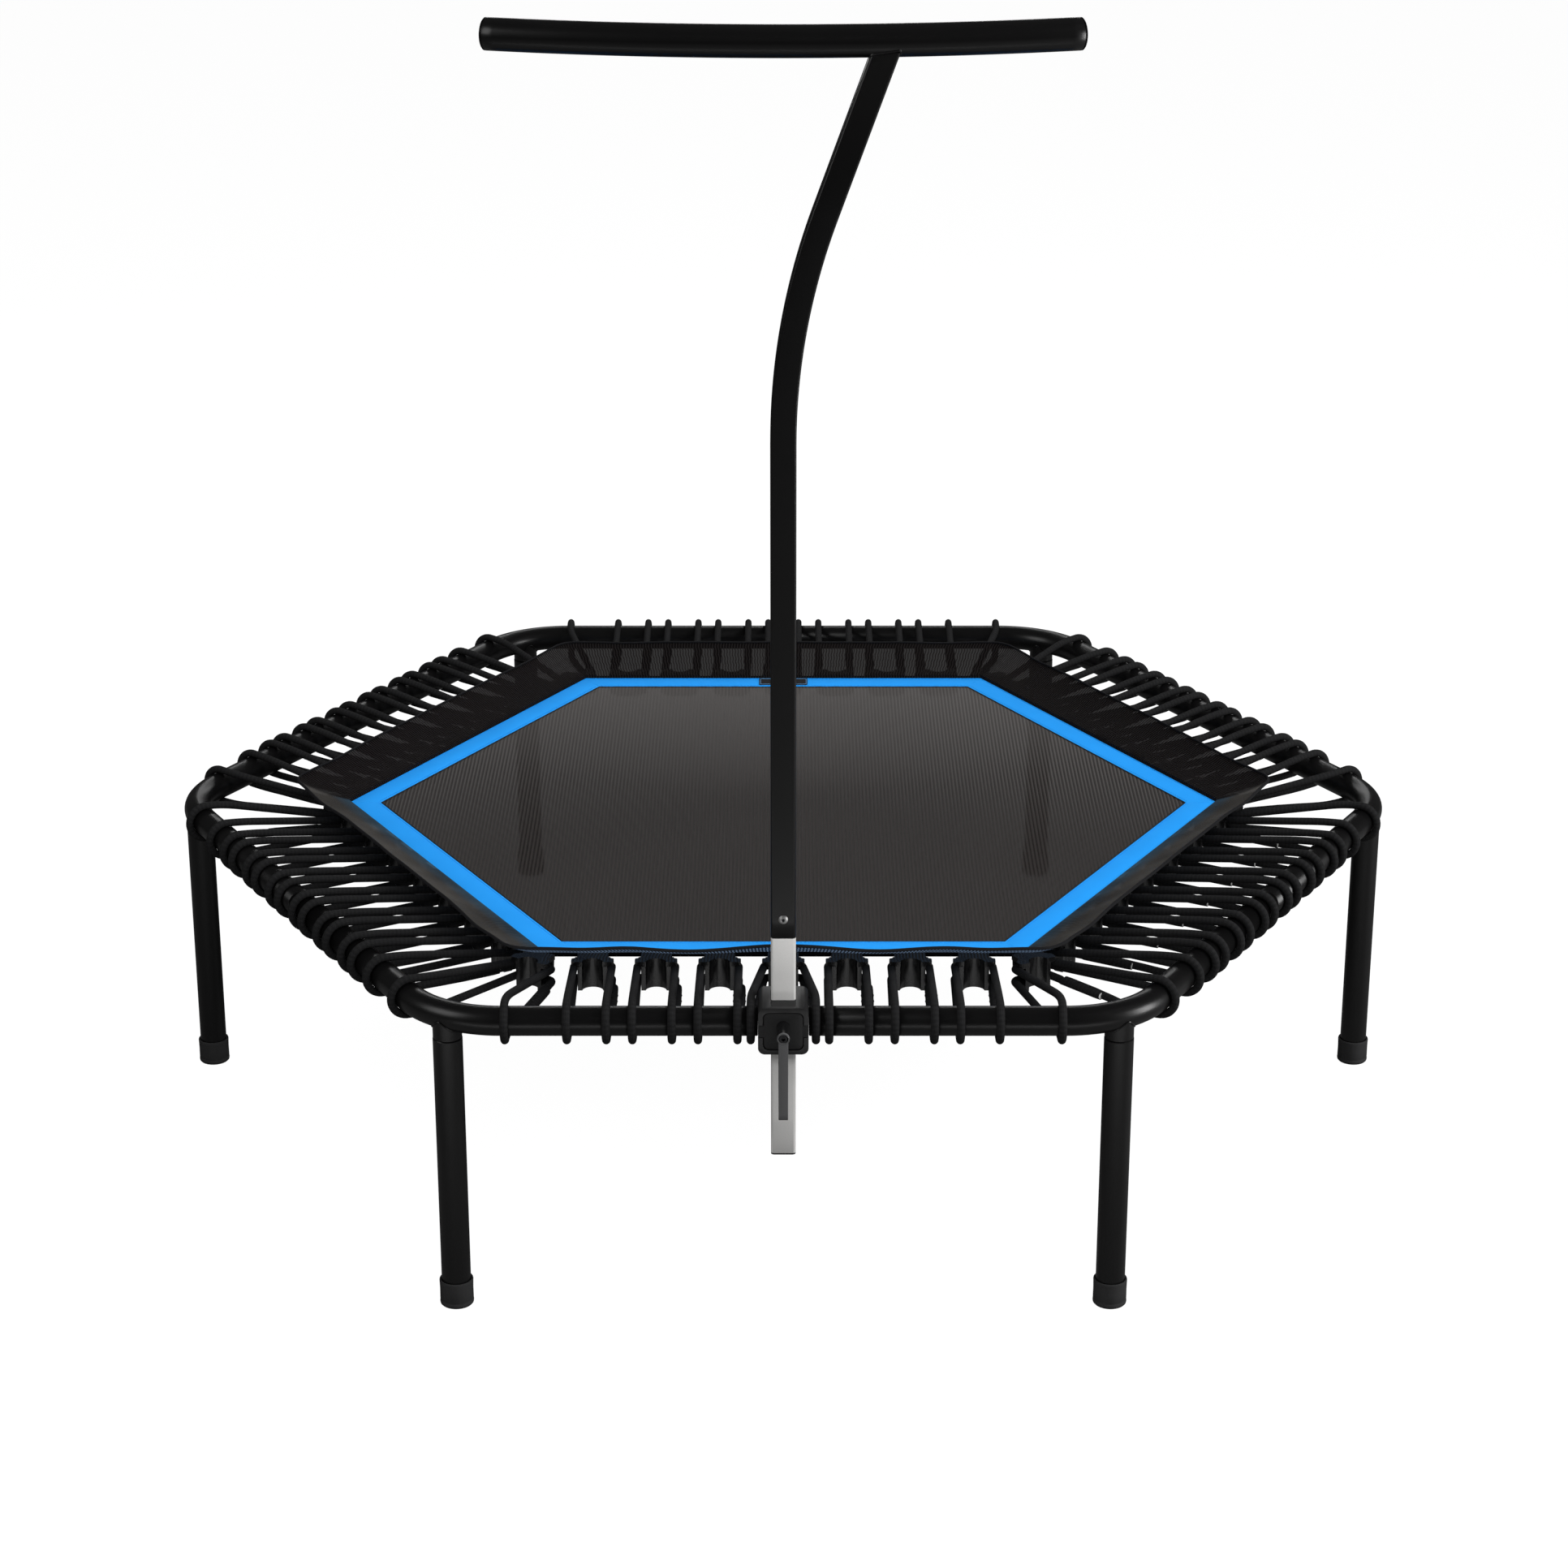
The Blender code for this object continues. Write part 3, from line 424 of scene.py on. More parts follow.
def mat_mesh():
    """Tightly woven, faintly see-through fabric with front-to-back ribs, and a painted sheen that makes it
    paler at shallow angles.
    """
    shader = Shader("mat_mesh", (0.040, 0.036, 0.034), 0.7, specular=0.25)
    x, y, _ = shader.parts(shader.place())
    rib = shader.unit(shader.stripes(x, RIB_PITCH))
    weft = shader.stripes(y, MAT_WEFT_PITCH)
    warp = shader.stripes(x, MAT_WARP_PITCH)
    weave = shader.unit(shader.math("MULTIPLY", weft, warp))
    cloud = shader.noise(6, 3.0)
    base = shader.mix(shader.ramp(rib, 0.0, 1.0, 0.35, 0.9), (0.0085, 0.0069, 0.0064), (0.029, 0.025, 0.0235))
    base = shader.mix(shader.ramp(weave, 0.0, 0.45), base, (0.0075, 0.0063, 0.0057))
    base = shader.mix(shader.ramp(cloud, 0.0, 0.25, 0.3, 0.7), base, (0.0185, 0.0160, 0.0150))
    # Painted sheen: the colour turns much paler toward shallow viewing angles, standing in for light glancing
    # off the fabric.
    shader.colour(shader.mix(shader.shallow(0.92, 0.64, 0.70), base, (0.125, 0.118, 0.114)))
    shader.alpha(shader.ramp(rib, 0.86, 0.93))
    shader.bump(weave, 0.00015, 0.7)


def webbing(name, dark, light, pitch, rough=0.75):
    """A woven tape: herringbone ribs across its width, from UVs in metres."""
    shader = Shader(name, light, rough, specular=0.2)
    x, y, _ = shader.parts(shader.place(True))
    turn = 2 * math.pi / pitch
    weave = shader.crossing(shader.math("MULTIPLY", x, turn), shader.math("MULTIPLY", y, turn))
    cloud = shader.noise(20, 3.0)
    base = shader.mix(shader.ramp(weave, 0.35, 1.0), dark, light)
    shader.colour(shader.mix(shader.ramp(cloud, 0.0, 0.25, 0.35, 0.7), base, dark))
    shader.bump(weave, 0.00012, 0.6)


def skirt_mesh():
    """An open knitted mesh: ribs from base to hem, with holes between them; it carries a painted sheen,
    painted blue bounce light near the band and a painted glow on its underside.
    """
    shader = Shader("skirt_mesh", (0.020, 0.018, 0.017), 0.8, specular=0.15)
    x, y, _ = shader.parts(shader.place(True))
    sway = shader.stripes(y, SKIRT_SWAY_LENGTH)
    along = shader.math("ADD", x, shader.math("MULTIPLY", sway, SKIRT_SWAY))
    rib = shader.unit(shader.stripes(along, SKIRT_RIB_PITCH))
    fine = shader.stripes(along, SKIRT_HOLE_PITCH)
    rows = shader.stripes(y, SKIRT_HOLE_PITCH)
    holes = shader.ramp(shader.math("MULTIPLY", fine, rows), 0.0, 1.0, 0.35, 0.65)
    cloud = shader.noise(12, 3.0)
    inside_rib = shader.ramp(rib, 0.0, 1.0, 0.55, 0.95)
    outside_rib = shader.ramp(rib, 0.0, 1.0, 0.40, 0.70)
    base = shader.mix(inside_rib, (0.0025, 0.0020, 0.0020), (0.010, 0.0085, 0.0085))
    # Colour of the ribs on the skirt's underside, which also glows there as painted light standing in for
    # light shining through the mesh.
    underside_glow_colour = shader.mix(outside_rib, (0.004, 0.005, 0.008), (0.13, 0.19, 0.29))
    geometry = shader.add("ShaderNodeNewGeometry")
    _, _, upward = shader.parts(geometry.outputs["True Normal"])
    under = shader.ramp(upward, 1.0, 0.0, -0.2, 0.0)
    # Painted sheen and bounce light: paler at shallow angles, and blue near the band as painted light bounced
    # off the band.
    near_band = shader.ramp(y, 1.0, 0.0, 0.006, 0.026)
    sheen = shader.mix(near_band, (0.070, 0.065, 0.058), (0.035, 0.120, 0.200))
    sheen = shader.mix(shader.ramp(rib, 0.0, 0.6, 0.9, 0.5), sheen, (0.030, 0.028, 0.026))
    base = shader.mix(shader.shallow(1.0, 0.66, 0.86), base, sheen)
    base = shader.mix(under, base, underside_glow_colour)
    # Painted glow: the underside emits its rib colour, standing in for light shining through the mesh.
    shader.link(underside_glow_colour, shader.main.inputs["Emission Color"])
    shader.link(shader.math("MULTIPLY", under, SKIRT_GLOW), shader.main.inputs["Emission Strength"])
    shader.colour(shader.mix(shader.ramp(cloud, 0.0, 0.5, 0.4, 0.7), base, (0.006, 0.0048, 0.0045)))
    solid = shader.math("MAXIMUM", shader.ramp(rib, 0.0, 1.0, 0.45, 0.75), shader.ramp(holes, 0.88, 0.60))
    shader.alpha(solid)
    shader.bump(rib, 0.0002, 0.8)
    shader.bump(holes, 0.0001, 0.5)


# Each call adds its finish to MATERIALS.
powder_paint("black_paint", (0.0018, 0.0017, 0.0018), (0.0030, 0.0029, 0.0030), 0.32, 0.30, 0.33)
powder_paint("housing_paint", (0.0080, 0.0080, 0.0083), (0.0125, 0.0125, 0.0128), 0.36, 0.34, 0.40)
silver_paint()
steel("steel", (0.50, 0.50, 0.51), (0.70, 0.70, 0.71), 0.30)
steel("zinc", (0.62, 0.62, 0.62), (0.78, 0.78, 0.77), 0.55)
steel("dark_steel", (0.030, 0.030, 0.032), (0.060, 0.060, 0.063), 0.38)
plastic("black_plastic", (0.0030, 0.0030, 0.0032), (0.0050, 0.0050, 0.0053), 0.24, 1.0, 0.000004)
plastic("cap_plastic", (0.006, 0.006, 0.0062), (0.009, 0.009, 0.0092), 0.6)
plastic("lever_grey", (0.056, 0.056, 0.058), (0.076, 0.076, 0.078), 0.55)
rubber()
cord()
webbing("cord_core", (0.22, 0.22, 0.22), (0.55, 0.55, 0.54), 0.0012)
mat_mesh()
webbing("band_blue", (0.008, 0.212, 0.62), (0.016, 0.302, 0.82), 0.0022)
webbing("blue_thread", (0.008, 0.17, 0.55), (0.018, 0.26, 0.74), 0.0008)
webbing("thin_dark_line", (0.006, 0.006, 0.007), (0.018, 0.018, 0.019), 0.0008)
skirt_mesh()
webbing("hem_fabric", (0.004, 0.004, 0.0045), (0.011, 0.011, 0.012), 0.0016, 0.85)
webbing("edge_webbing", (0.006, 0.006, 0.007), (0.016, 0.016, 0.017), 0.0020, 0.85)
webbing("label_fabric", (0.006, 0.006, 0.007), (0.014, 0.014, 0.015), 0.0009, 0.8)
webbing("label_border", (0.060, 0.16, 0.30), (0.16, 0.33, 0.55), 0.0009, 0.7)

# Finishes that share another finish's slot.
SLOTS = {
    "housing_paint": "black_paint",
    "dark_steel": "steel",
    "zinc": "steel",
    "cap_plastic": "black_plastic",
    "edge_webbing": "black_plastic",
    "cord_core": "cord",
    "blue_thread": "band_blue",
    "thin_dark_line": "hem_fabric",
    "label_border": "label_fabric",
}


# ---- Mesh helpers ---------------------------------------------------------------------------------


def add_mesh(name, verts, faces, material, uvs=None, sharp=40):
    """A mesh object with smooth shading, and sharp edges above an angle."""
    mesh = bpy.data.meshes.new(name)
    mesh.from_pydata([tuple(vert) for vert in verts], [], faces)
    if uvs:
        layer = mesh.uv_layers.new(name="UVMap")
        layer.data.foreach_set("uv", [part for pair in uvs for part in pair])
    mesh.validate()
    mesh.polygons.foreach_set("use_smooth", [True] * len(mesh.polygons))
    mesh.set_sharp_from_angle(angle=math.radians(sharp))
    mesh.materials.append(MATERIALS[material])
    obj = bpy.data.objects.new(name, mesh)
    bpy.context.scene.collection.objects.link(obj)
    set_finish(obj, SLOTS.get(material, material))
    return obj


def up_by(height):
    """A vector of this height."""
    return Vector((0, 0, height))


def quads(low, high, count):
    """Faces between two closed rings of points, whose numbers start at low and at high."""
    pairs = [(index, (index + 1) % count) for index in range(count)]
    return [(low + index, low + after, high + after, high + index) for index, after in pairs]


def loft(name, rings, material, closed=False, capped=True, sharp=40):
    """Skins a row of rings that all have the same number of points. UVs are metres round and along."""
    count = len(rings[0])
    verts = [point for ring in rings for point in ring]
    first = rings[0]
    round_way = [0.0]
    for index in range(count):
        round_way.append(round_way[-1] + (first[(index + 1) % count] - first[index]).length)
    centres = [sum(ring, Vector()) / count for ring in rings]
    long_way = [0.0]
    for index in range(len(rings)):
        step = (centres[(index + 1) % len(rings)] - centres[index]).length
        long_way.append(long_way[-1] + step)
    faces = []
    uvs = []
    for row in range(len(rings) if closed else len(rings) - 1):
        faces += quads(row * count, (row + 1) % len(rings) * count, count)
        for index in range(count):
            left, right = round_way[index], round_way[index + 1]
            bottom, top = long_way[row], long_way[row + 1]
            uvs += [(left, bottom), (right, bottom), (right, top), (left, top)]
    if capped and not closed:
        for start, order in ((0, reversed(range(count))), (len(verts) - count, range(count))):
            faces.append(tuple(start + index for index in order))
            uvs += [(verts[index].x, verts[index].y) for index in faces[-1]]
    return add_mesh(name, verts, faces, material, uvs, sharp)


def closed_faces_out(obj):
    """Turns a closed mesh's faces outward."""
    shape = bmesh.new()
    shape.from_mesh(obj.data)
    bmesh.ops.recalc_face_normals(shape, faces=shape.faces)
    shape.to_mesh(obj.data)
    shape.free()
    return obj


def join(name, pieces):
    """Joins piece objects into one mesh object that keeps its materials."""
    shape = bmesh.new()
    materials = []
    for piece in pieces:
        start = len(shape.faces)
        mesh = piece.data.copy()
        mesh.transform(piece.matrix_world)
        shape.from_mesh(mesh)
        shape.faces.ensure_lookup_table()
        for material in piece.data.materials:
            if material not in materials:
                materials.append(material)
        wanted = [materials.index(material) for material in piece.data.materials]
        for face in shape.faces[start:]:
            face.material_index = wanted[face.material_index]
        bpy.data.meshes.remove(mesh)
    joined = bpy.data.meshes.new(name)
    shape.to_mesh(joined)
    shape.free()
    for material in materials:
        joined.materials.append(material)
    obj = bpy.data.objects.new(name, joined)
    bpy.context.scene.collection.objects.link(obj)
    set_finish(obj, pieces[0]["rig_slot"])
    for piece in pieces:
        bpy.data.objects.remove(piece)
    return obj


def travel_frames(points, closed=False, up=None):
    """Tangent, side and up vectors at each point of a path, without twist."""
    count = len(points)
    tangents = []
    for index in range(count):
        before = points[index - 1] if closed or index > 0 else points[index]
        after = points[(index + 1) % count] if closed or index < count - 1 else points[index]
        tangents.append((after - before).normalized())
    if up is not None:
        return [(tangent, tangent.cross(up).normalized(), up) for tangent in tangents]
    normal = tangents[0].orthogonal().normalized()
    normals = [normal]
    for before, after in zip(tangents, tangents[1:]):
        normal = before.rotation_difference(after) @ normal
        normals.append(normal.normalized())
    if closed:
        back = tangents[-1].rotation_difference(tangents[0]) @ normals[-1]
        twist = math.atan2(tangents[0].dot(back.cross(normals[0])), back.dot(normals[0]))
        for index in range(count):
            normals[index] = Matrix.Rotation(twist * index / count, 3, tangents[index]) @ normals[index]
    return [(tangent, tangent.cross(normal), normal) for tangent, normal in zip(tangents, normals)]


def circle(radius, segments=32):
    turn = 2 * math.pi / segments
    return [(radius * math.cos(turn * index), radius * math.sin(turn * index)) for index in range(segments)]


def rounded_square(half_x, half_y, corner, steps=5):
    """A rectangle with rounded corners, as (across, up) pairs."""
    points = []
    for turn, (sign_x, sign_y) in enumerate(((1, 1), (-1, 1), (-1, -1), (1, -1))):
        for step in range(steps + 1):
            angle = math.radians(90 * turn + 90 * step / steps)
            x = sign_x * (half_x - corner) + corner * math.cos(angle)
            y = sign_y * (half_y - corner) + corner * math.sin(angle)
            points.append((x, y))
    return points


def ring_at(point, side, up, section, scale=1.0):
    return [point + side * across * scale + up * rise * scale for across, rise in section]


def sweep(name, points, section, material, closed=False, up=None, scales=None, sharp=40):
    """Carries a section along a path."""
    rings = []
    for index, (point, axes) in enumerate(zip(points, travel_frames(points, closed, up))):
        scale = scales[index] if scales else 1.0
        rings.append(ring_at(point, axes[1], axes[2], section, scale))
    return closed_faces_out(loft(name, rings, material, closed, sharp=sharp))


def tube(name, points, outer, inner, material, chamfer=0.0006, up=None, sharp=50):
    """A hollow tube with chamfered ends. Outer and inner are sections with the same number of points."""
    axes = travel_frames(points, up=up)
    start, end = points[0], points[-1]
    head = axes[0][0] * chamfer
    tail = axes[-1][0] * chamfer
    shrink = 1 - chamfer / max(pair[0] for pair in outer)
    rings = [ring_at(start, axes[0][1], axes[0][2], outer, shrink)]
    rings.append(ring_at(start + head, axes[0][1], axes[0][2], outer))
    for point, axis in list(zip(points, axes))[1:-1]:
        rings.append(ring_at(point, axis[1], axis[2], outer))
    rings.append(ring_at(end - tail, axes[-1][1], axes[-1][2], outer))
    rings.append(ring_at(end, axes[-1][1], axes[-1][2], outer, shrink))
    for point, axis in reversed(list(zip(points, axes))):
        rings.append(ring_at(point, axis[1], axis[2], inner))
    return closed_faces_out(loft(name, rings, material, closed=True, sharp=sharp))


def turned(name, profile, material, place, axis=(0, 0, 1), segments=40, sharp=35):
    """Turns (radius, height) points about an axis. One that starts on the axis is closed at both ends."""
    spin = UP.rotation_difference(Vector(axis)).to_matrix()
    place = Vector(place)
    solid = profile[0][0] == 0
    verts = []
    faces = []
    inner = profile[1:-1] if solid else profile
    for radius, height in inner:
        for x, y in circle(radius, segments):
            verts.append(place + spin @ Vector((x, y, height)))
    rows = len(inner) - 1 if solid else len(inner)
    for row in range(rows):
        faces += quads(row * segments, (row + 1) % len(inner) * segments, segments)
    if solid:
        for row, height in ((0, profile[0][1]), (len(inner) - 1, profile[-1][1])):
            verts.append(place + spin @ up_by(height))
            for index in range(segments):
                after = (index + 1) % segments
                faces.append((row * segments + index, row * segments + after, len(verts) - 1))
    return closed_faces_out(add_mesh(name, verts, faces, material, None, sharp))


def turned_at_front(name, profile, material, y, height, segments):
    """A turned shape on a front-to-back axis at the object's middle."""
    return turned(name, profile, material, (0, y, height), FRONTWARD, segments)


def solid_prism(name, outline, low, high, material, bevel=0.0004, segments=2, sharp=35):
    """An outline in XY raised between two heights, with its edges rounded."""
    shape = bmesh.new()
    bottom = [shape.verts.new((x, y, low)) for x, y in outline]
    top = [shape.verts.new((x, y, high)) for x, y in outline]
    shape.faces.new(reversed(bottom))
    shape.faces.new(top)
    for index in range(len(outline)):
        after = (index + 1) % len(outline)
        shape.faces.new((bottom[index], bottom[after], top[after], top[index]))
    if bevel:
        edges = [edge for edge in shape.edges if edge.calc_face_angle(0) > math.radians(35)]
        bmesh.ops.bevel(shape, geom=edges, offset=bevel, segments=segments, affect="EDGES", profile=0.5)
    bmesh.ops.recalc_face_normals(shape, faces=shape.faces)
    shape.verts.ensure_lookup_table()
    verts = [vert.co.copy() for vert in shape.verts]
    shape.verts.index_update()
    faces = [tuple(vert.index for vert in face.verts) for face in shape.faces]
    shape.free()
    return add_mesh(name, verts, faces, material, None, sharp)


def cut(target, cutter):
    """Cuts one closed mesh out of another and keeps the result as plain mesh."""
    modifier = target.modifiers.new("cut", "BOOLEAN")
    modifier.operation = "DIFFERENCE"
    modifier.object = cutter
    bpy.context.view_layer.update()
    mesh = bpy.data.meshes.new_from_object(target.evaluated_get(bpy.context.evaluated_depsgraph_get()))
    target.modifiers.clear()
    target.data = mesh
    bpy.data.objects.remove(cutter)
    mesh.polygons.foreach_set("use_smooth", [True] * len(mesh.polygons))
    mesh.set_sharp_from_angle(angle=math.radians(35))
    return target


def stands_for(obj, body, *nodes):
    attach(obj, body)
    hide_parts(*nodes)
    return obj


# ---- Places on the hexagon ------------------------------------------------------------------------


def directions(azimuth):
    angle = math.radians(azimuth)
    return Vector((math.cos(angle), math.sin(angle), 0)), Vector((-math.sin(angle), math.cos(angle), 0))


def frame_place(side_azimuth, distance):
    """The frame's centre-line point at a distance along a side from its middle, and the outward direction."""
    outward, along = directions(side_azimuth)
    straight = (FRAME_APOTHEM - BEND_R) * TAN30
    if abs(distance) <= straight:
        point, radial = outward * FRAME_APOTHEM + along * distance, outward
    else:
        sign = math.copysign(1, distance)
        turn = (abs(distance) - straight) / BEND_R
        radial = directions(side_azimuth + sign * math.degrees(turn))[0]
        point = outward * (FRAME_APOTHEM - BEND_R) + along * sign * straight + radial * BEND_R
    return point + up_by(FRAME_Z), radial


def soft_hexagon(apothem, corner_r, per_side, per_corner):
    """Points round a hexagon with arcs at its corners: (point, outward, side azimuth, place along)."""
    points = []
    for azimuth in range(30, 390, 60):
        outward, along = directions(azimuth)
        reach = (apothem - corner_r) * TAN30
        for step in range(per_side):
            distance = reach * (2 * step / per_side - 1)
            points.append((outward * apothem + along * distance, outward, azimuth, distance))
        centre = directions(azimuth + 30)[0] * (apothem - corner_r) / COS30
        for step in range(per_corner):
            radial = directions(azimuth + 60 * step / per_corner)[0]
            points.append((centre + radial * corner_r, radial, azimuth, reach + corner_r * step / per_corner))
    return points


# ---- Frame ----------------------------------------------------------------------------------------


def bend_points(corner_azimuth, sign, steps=16):
    centre = directions(corner_azimuth)[0] * (FRAME_APOTHEM - BEND_R) / COS30
    points = []
    for step in range(steps + 1):
        turn = sign * (-30 + 60 * step / steps)
        point = centre + directions(corner_azimuth + turn)[0] * BEND_R
        points.append(Vector((point.x, point.y, FRAME_Z)))
    return points


def saddle(azimuth, lift=0.0, steps=72):
    """Where the upright stub under a corner meets the frame tube."""
    outward, along = directions(azimuth)
    centre = outward * LEG_RADIUS
    points = []
    for step in range(steps):
        angle = 2 * math.pi * step / steps
        out = (TUBE_R - 0.0002) * math.cos(angle)
        side = (TUBE_R - 0.0002) * math.sin(angle)
        from_axis = math.hypot(BEND_R + out, side) - BEND_R
        drop = math.sqrt(max(TUBE_R**2 - from_axis**2, (0.12 * TUBE_R) ** 2))
        height = FRAME_Z - drop - lift
        points.append(centre + outward * out + along * side + up_by(height))
    return points


def frame_stub(name, azimuth):
    """The stub under a frame corner with its weld bead and the seam ring at its bottom."""
    place = directions(azimuth)[0] * LEG_RADIUS
    place.z = 0
    radius = TUBE_R - 0.0003
    profile = [
        (radius, FRAME_Z - 0.002), (radius, STUB_BOTTOM + 0.0006), (radius - 0.0006, STUB_BOTTOM),
        (0.0052, STUB_BOTTOM), (0.0052, FRAME_Z - 0.004),
    ]
    stub = turned("stub", profile, "black_paint", place, segments=48)
    points = saddle(azimuth)
    ripple = [1.0 + 0.12 * math.sin(step * 2 * math.pi / 4.5) for step in range(len(points))]
    bead = sweep("bead", points, circle(0.0011, 8), "black_paint", closed=True, scales=ripple)
    stub = join(name, [stub, bead])
    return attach(stub, "frame")


def build_frame():
    """The four frame tubes, each with its stubs."""
    housing_side = HOUSING_W / 2 + GAP
    gap = 0.0008
    tubes = {
        "frame_section_left": ((90, gap), (120, 180), (210, -gap), 1),
        "frame_section_right": ((90, -gap), (60, 0), (330, gap), -1),
        "frame_tube_front_left": ((210, gap), (240,), None, 1),
        "frame_tube_front_right": ((330, -gap), (300,), None, -1),
    }
    outer = circle(TUBE_R, 48)
    inner = circle(TUBE_R - TUBE_WALL, 48)
    for node, (start, corners, end, sign) in tubes.items():
        points = [frame_place(*start)[0]]
        for azimuth in corners:
            points += bend_points(azimuth, sign)
        if end:
            points.append(frame_place(*end)[0])
        else:
            points.append(Vector((-sign * housing_side, -FRAME_APOTHEM, FRAME_Z)))
        pipe = tube(node + "_pipe", points, outer, inner, "black_paint", 0.0007, up=UP)
        stands_for(pipe, "frame", node)
        for azimuth in corners:
            stub = frame_stub("frame_stub_" + CORNER_AT[azimuth], azimuth)
            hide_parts(node)


def build_legs():
    wall = TUBE_R - TUBE_WALL
    for name, azimuth in CORNERS.items():
        place = directions(azimuth)[0] * LEG_RADIUS
        top = STUB_BOTTOM - GAP
        profile = [
            (TUBE_R - 0.0007, top), (TUBE_R, top - 0.0007), (TUBE_R, LEG_BOTTOM + 0.0007),
            (TUBE_R - 0.0007, LEG_BOTTOM), (wall, LEG_BOTTOM), (wall, top),
        ]
        leg = turned("leg_tube_" + name, profile, "black_paint", place, segments=48)
        stands_for(leg, "frame", "leg_" + name)
        sole = place + up_by(FLOOR_Z)
        foot = turned("foot_cap_" + name, foot_profile(), "rubber", sole, segments=48)
        stands_for(foot, "frame", "foot_" + name)


def foot_profile():
    """A rubber cap: rounded sole with a shallow tread ring, slightly flared side and an open rolled rim."""
    bore = TUBE_R + 0.00025
    height = FOOT_TOP - FLOOR_Z
    return [
        (0, 0.0006), (0.0065, 0.0006), (0.0072, 0.0), (FOOT_R - 0.0026, 0.0),
        (FOOT_R - 0.0012, 0.0004), (FOOT_R - 0.0003, 0.0014), (FOOT_R, 0.0030),
        (FOOT_R - 0.0002, 0.0052), (FOOT_R - 0.0004, 0.0056), (FOOT_R - 0.0004, 0.0062),
        (FOOT_R - 0.0002, 0.0066), (FOOT_R - 0.0003, height * 0.6),
        (FOOT_R - 0.0001, height - 0.0034), (FOOT_R, height - 0.0016),
        (FOOT_R - 0.0002, height - 0.0006), (FOOT_R - 0.0009, height - 0.0001),
        (bore + 0.0004, height - 0.0003), (bore, height - 0.0010), (bore, 0.0052), (0, 0.0052),
    ]


# ---- Mat, band and skirt --------------------------------------------------------------------------


def build_mat():
    """The ribbed jump mat inside the band, and its rim under the band."""
    apothem = BAND_INNER - GAP
    corner = apothem / COS30 - 0.0004
    pitch = RIB_PITCH / 6
    columns = int(2 * corner / pitch)
    rows = 8
    rings = []
    for column in range(columns + 1):
        x = corner * (2 * column / columns - 1)
        reach = min(apothem, (apothem - abs(x) * COS30) / 0.5)
        rib = 0.5 - 0.5 * math.sin(2 * math.pi * x / RIB_PITCH)
        ring = []
        for row in range(rows + 1):
            y = reach * (2 * row / rows - 1)
            ring.append(Vector((x, y, MAT_TOP - RIB_DEPTH * rib)))
        for row in range(rows, -1, -1):
            y = reach * (2 * row / rows - 1)
            ring.append(Vector((x, y, MAT_LOW + RIB_DEPTH * rib)))
        rings.append(ring)
    panel = closed_faces_out(loft("jump_mat_panel", rings, "mat_mesh", sharp=60))
    stands_for(panel, "mat", "jump_mat")
    rim_top = BAND_LOW - GAP
    rim = hexagon_ring("jump_mat_rim", BAND_INNER - GAP, BAND_OUTER - GAP, MAT_LOW, rim_top, "mat_mesh")
    stands_for(rim, "mat", "jump_mat")


def hexagon_ring(name, inner, outer, low, high, material):
    """A flat hexagonal ring with mitred corners."""
    section = [(inner, low), (outer, low), (outer, high), (inner, high)]
    rings = []
    for azimuth in range(0, 360, 60):
        outward = directions(azimuth)[0]
        rings.append([outward * apothem / COS30 + up_by(height) for apothem, height in section])
    return closed_faces_out(loft(name, rings, material, closed=True, sharp=20))


def band_section():
    """Across the band from its inner to its outer edge: (apothem, height), round the whole section."""
    edge = 0.0005
    top = BAND_TOP
    low = BAND_LOW
    groove = 0.00022
    width = BAND_OUTER - BAND_INNER
    points = [(BAND_INNER + edge, low), (BAND_OUTER - edge, low), (BAND_OUTER, low + edge)]
    points.append((BAND_OUTER - 0.0001, top - edge))
    points.append((BAND_OUTER - edge, top - 0.0001))
    marks = [(0.0021, 0.0), (0.0027, groove), (0.0033, 0.0)]
    for distance, depth in marks:
        points.append((BAND_OUTER - distance, top - depth))
    points.append((BAND_OUTER - width / 2, top))
    for distance, depth in reversed(marks):
        points.append((BAND_INNER + distance, top - depth))
    points.append((BAND_INNER + edge, top - 0.0001))
    points.append((BAND_INNER + 0.0001, top - edge))
    points.append((BAND_INNER, low + edge))
    return points


def build_band():
    """Six lengths of webbing that meet at mitres, with two rows of stitches along each."""
    section = band_section()
    steps = 24
    for name, azimuth in SIDES.items():
        outward, along = directions(azimuth)
        rings = []
        for step in range(steps + 1):
            share = 2 * step / steps - 1
            ring = []
            for apothem, height in section:
                end = apothem * TAN30 - 0.00012
                ring.append(outward * apothem + along * share * end + up_by(height))
            rings.append(ring)
        strip = closed_faces_out(loft("band_" + name, rings, "band_blue", sharp=50))
        set_flat_uvs(strip, outward, along)
        stands_for(strip, "mat", "mat_band")
        stitches = []
        for apothem in (BAND_INNER + STITCH_INSET, BAND_OUTER - STITCH_INSET):
            half_row = along * (apothem * TAN30 - 0.003)
            start = outward * apothem - half_row + up_by(BAND_TOP - 0.0001)
            end = outward * apothem + half_row + up_by(BAND_TOP - 0.0001)
            stitches.append(stitch_row(start, end))
        thread = join("band_stitching_" + name, stitches)
        stands_for(thread, "mat", "mat_band")
    # A thin dark line just inside the band's inner edge.
    hexagon_dark_line("band_inner_dark_line", BAND_INNER - 0.0009, BAND_TOP - 0.0007, 0.0008, "thin_dark_line", "jump_mat")


def hexagon_dark_line(name, apothem, height, radius, material, node):
    """A thin dark round line round a hexagon."""
    points = []
    for point, _, _, _ in soft_hexagon(apothem, 0.002, 60, 4):
        points.append(point + up_by(height))
    scales = [1.0 + 0.10 * math.sin(index * 2.3) for index in range(len(points))]
    line_shape = sweep(name, points, circle(radius, 8), material, closed=True, scales=scales)
    stands_for(line_shape, "mat", node)


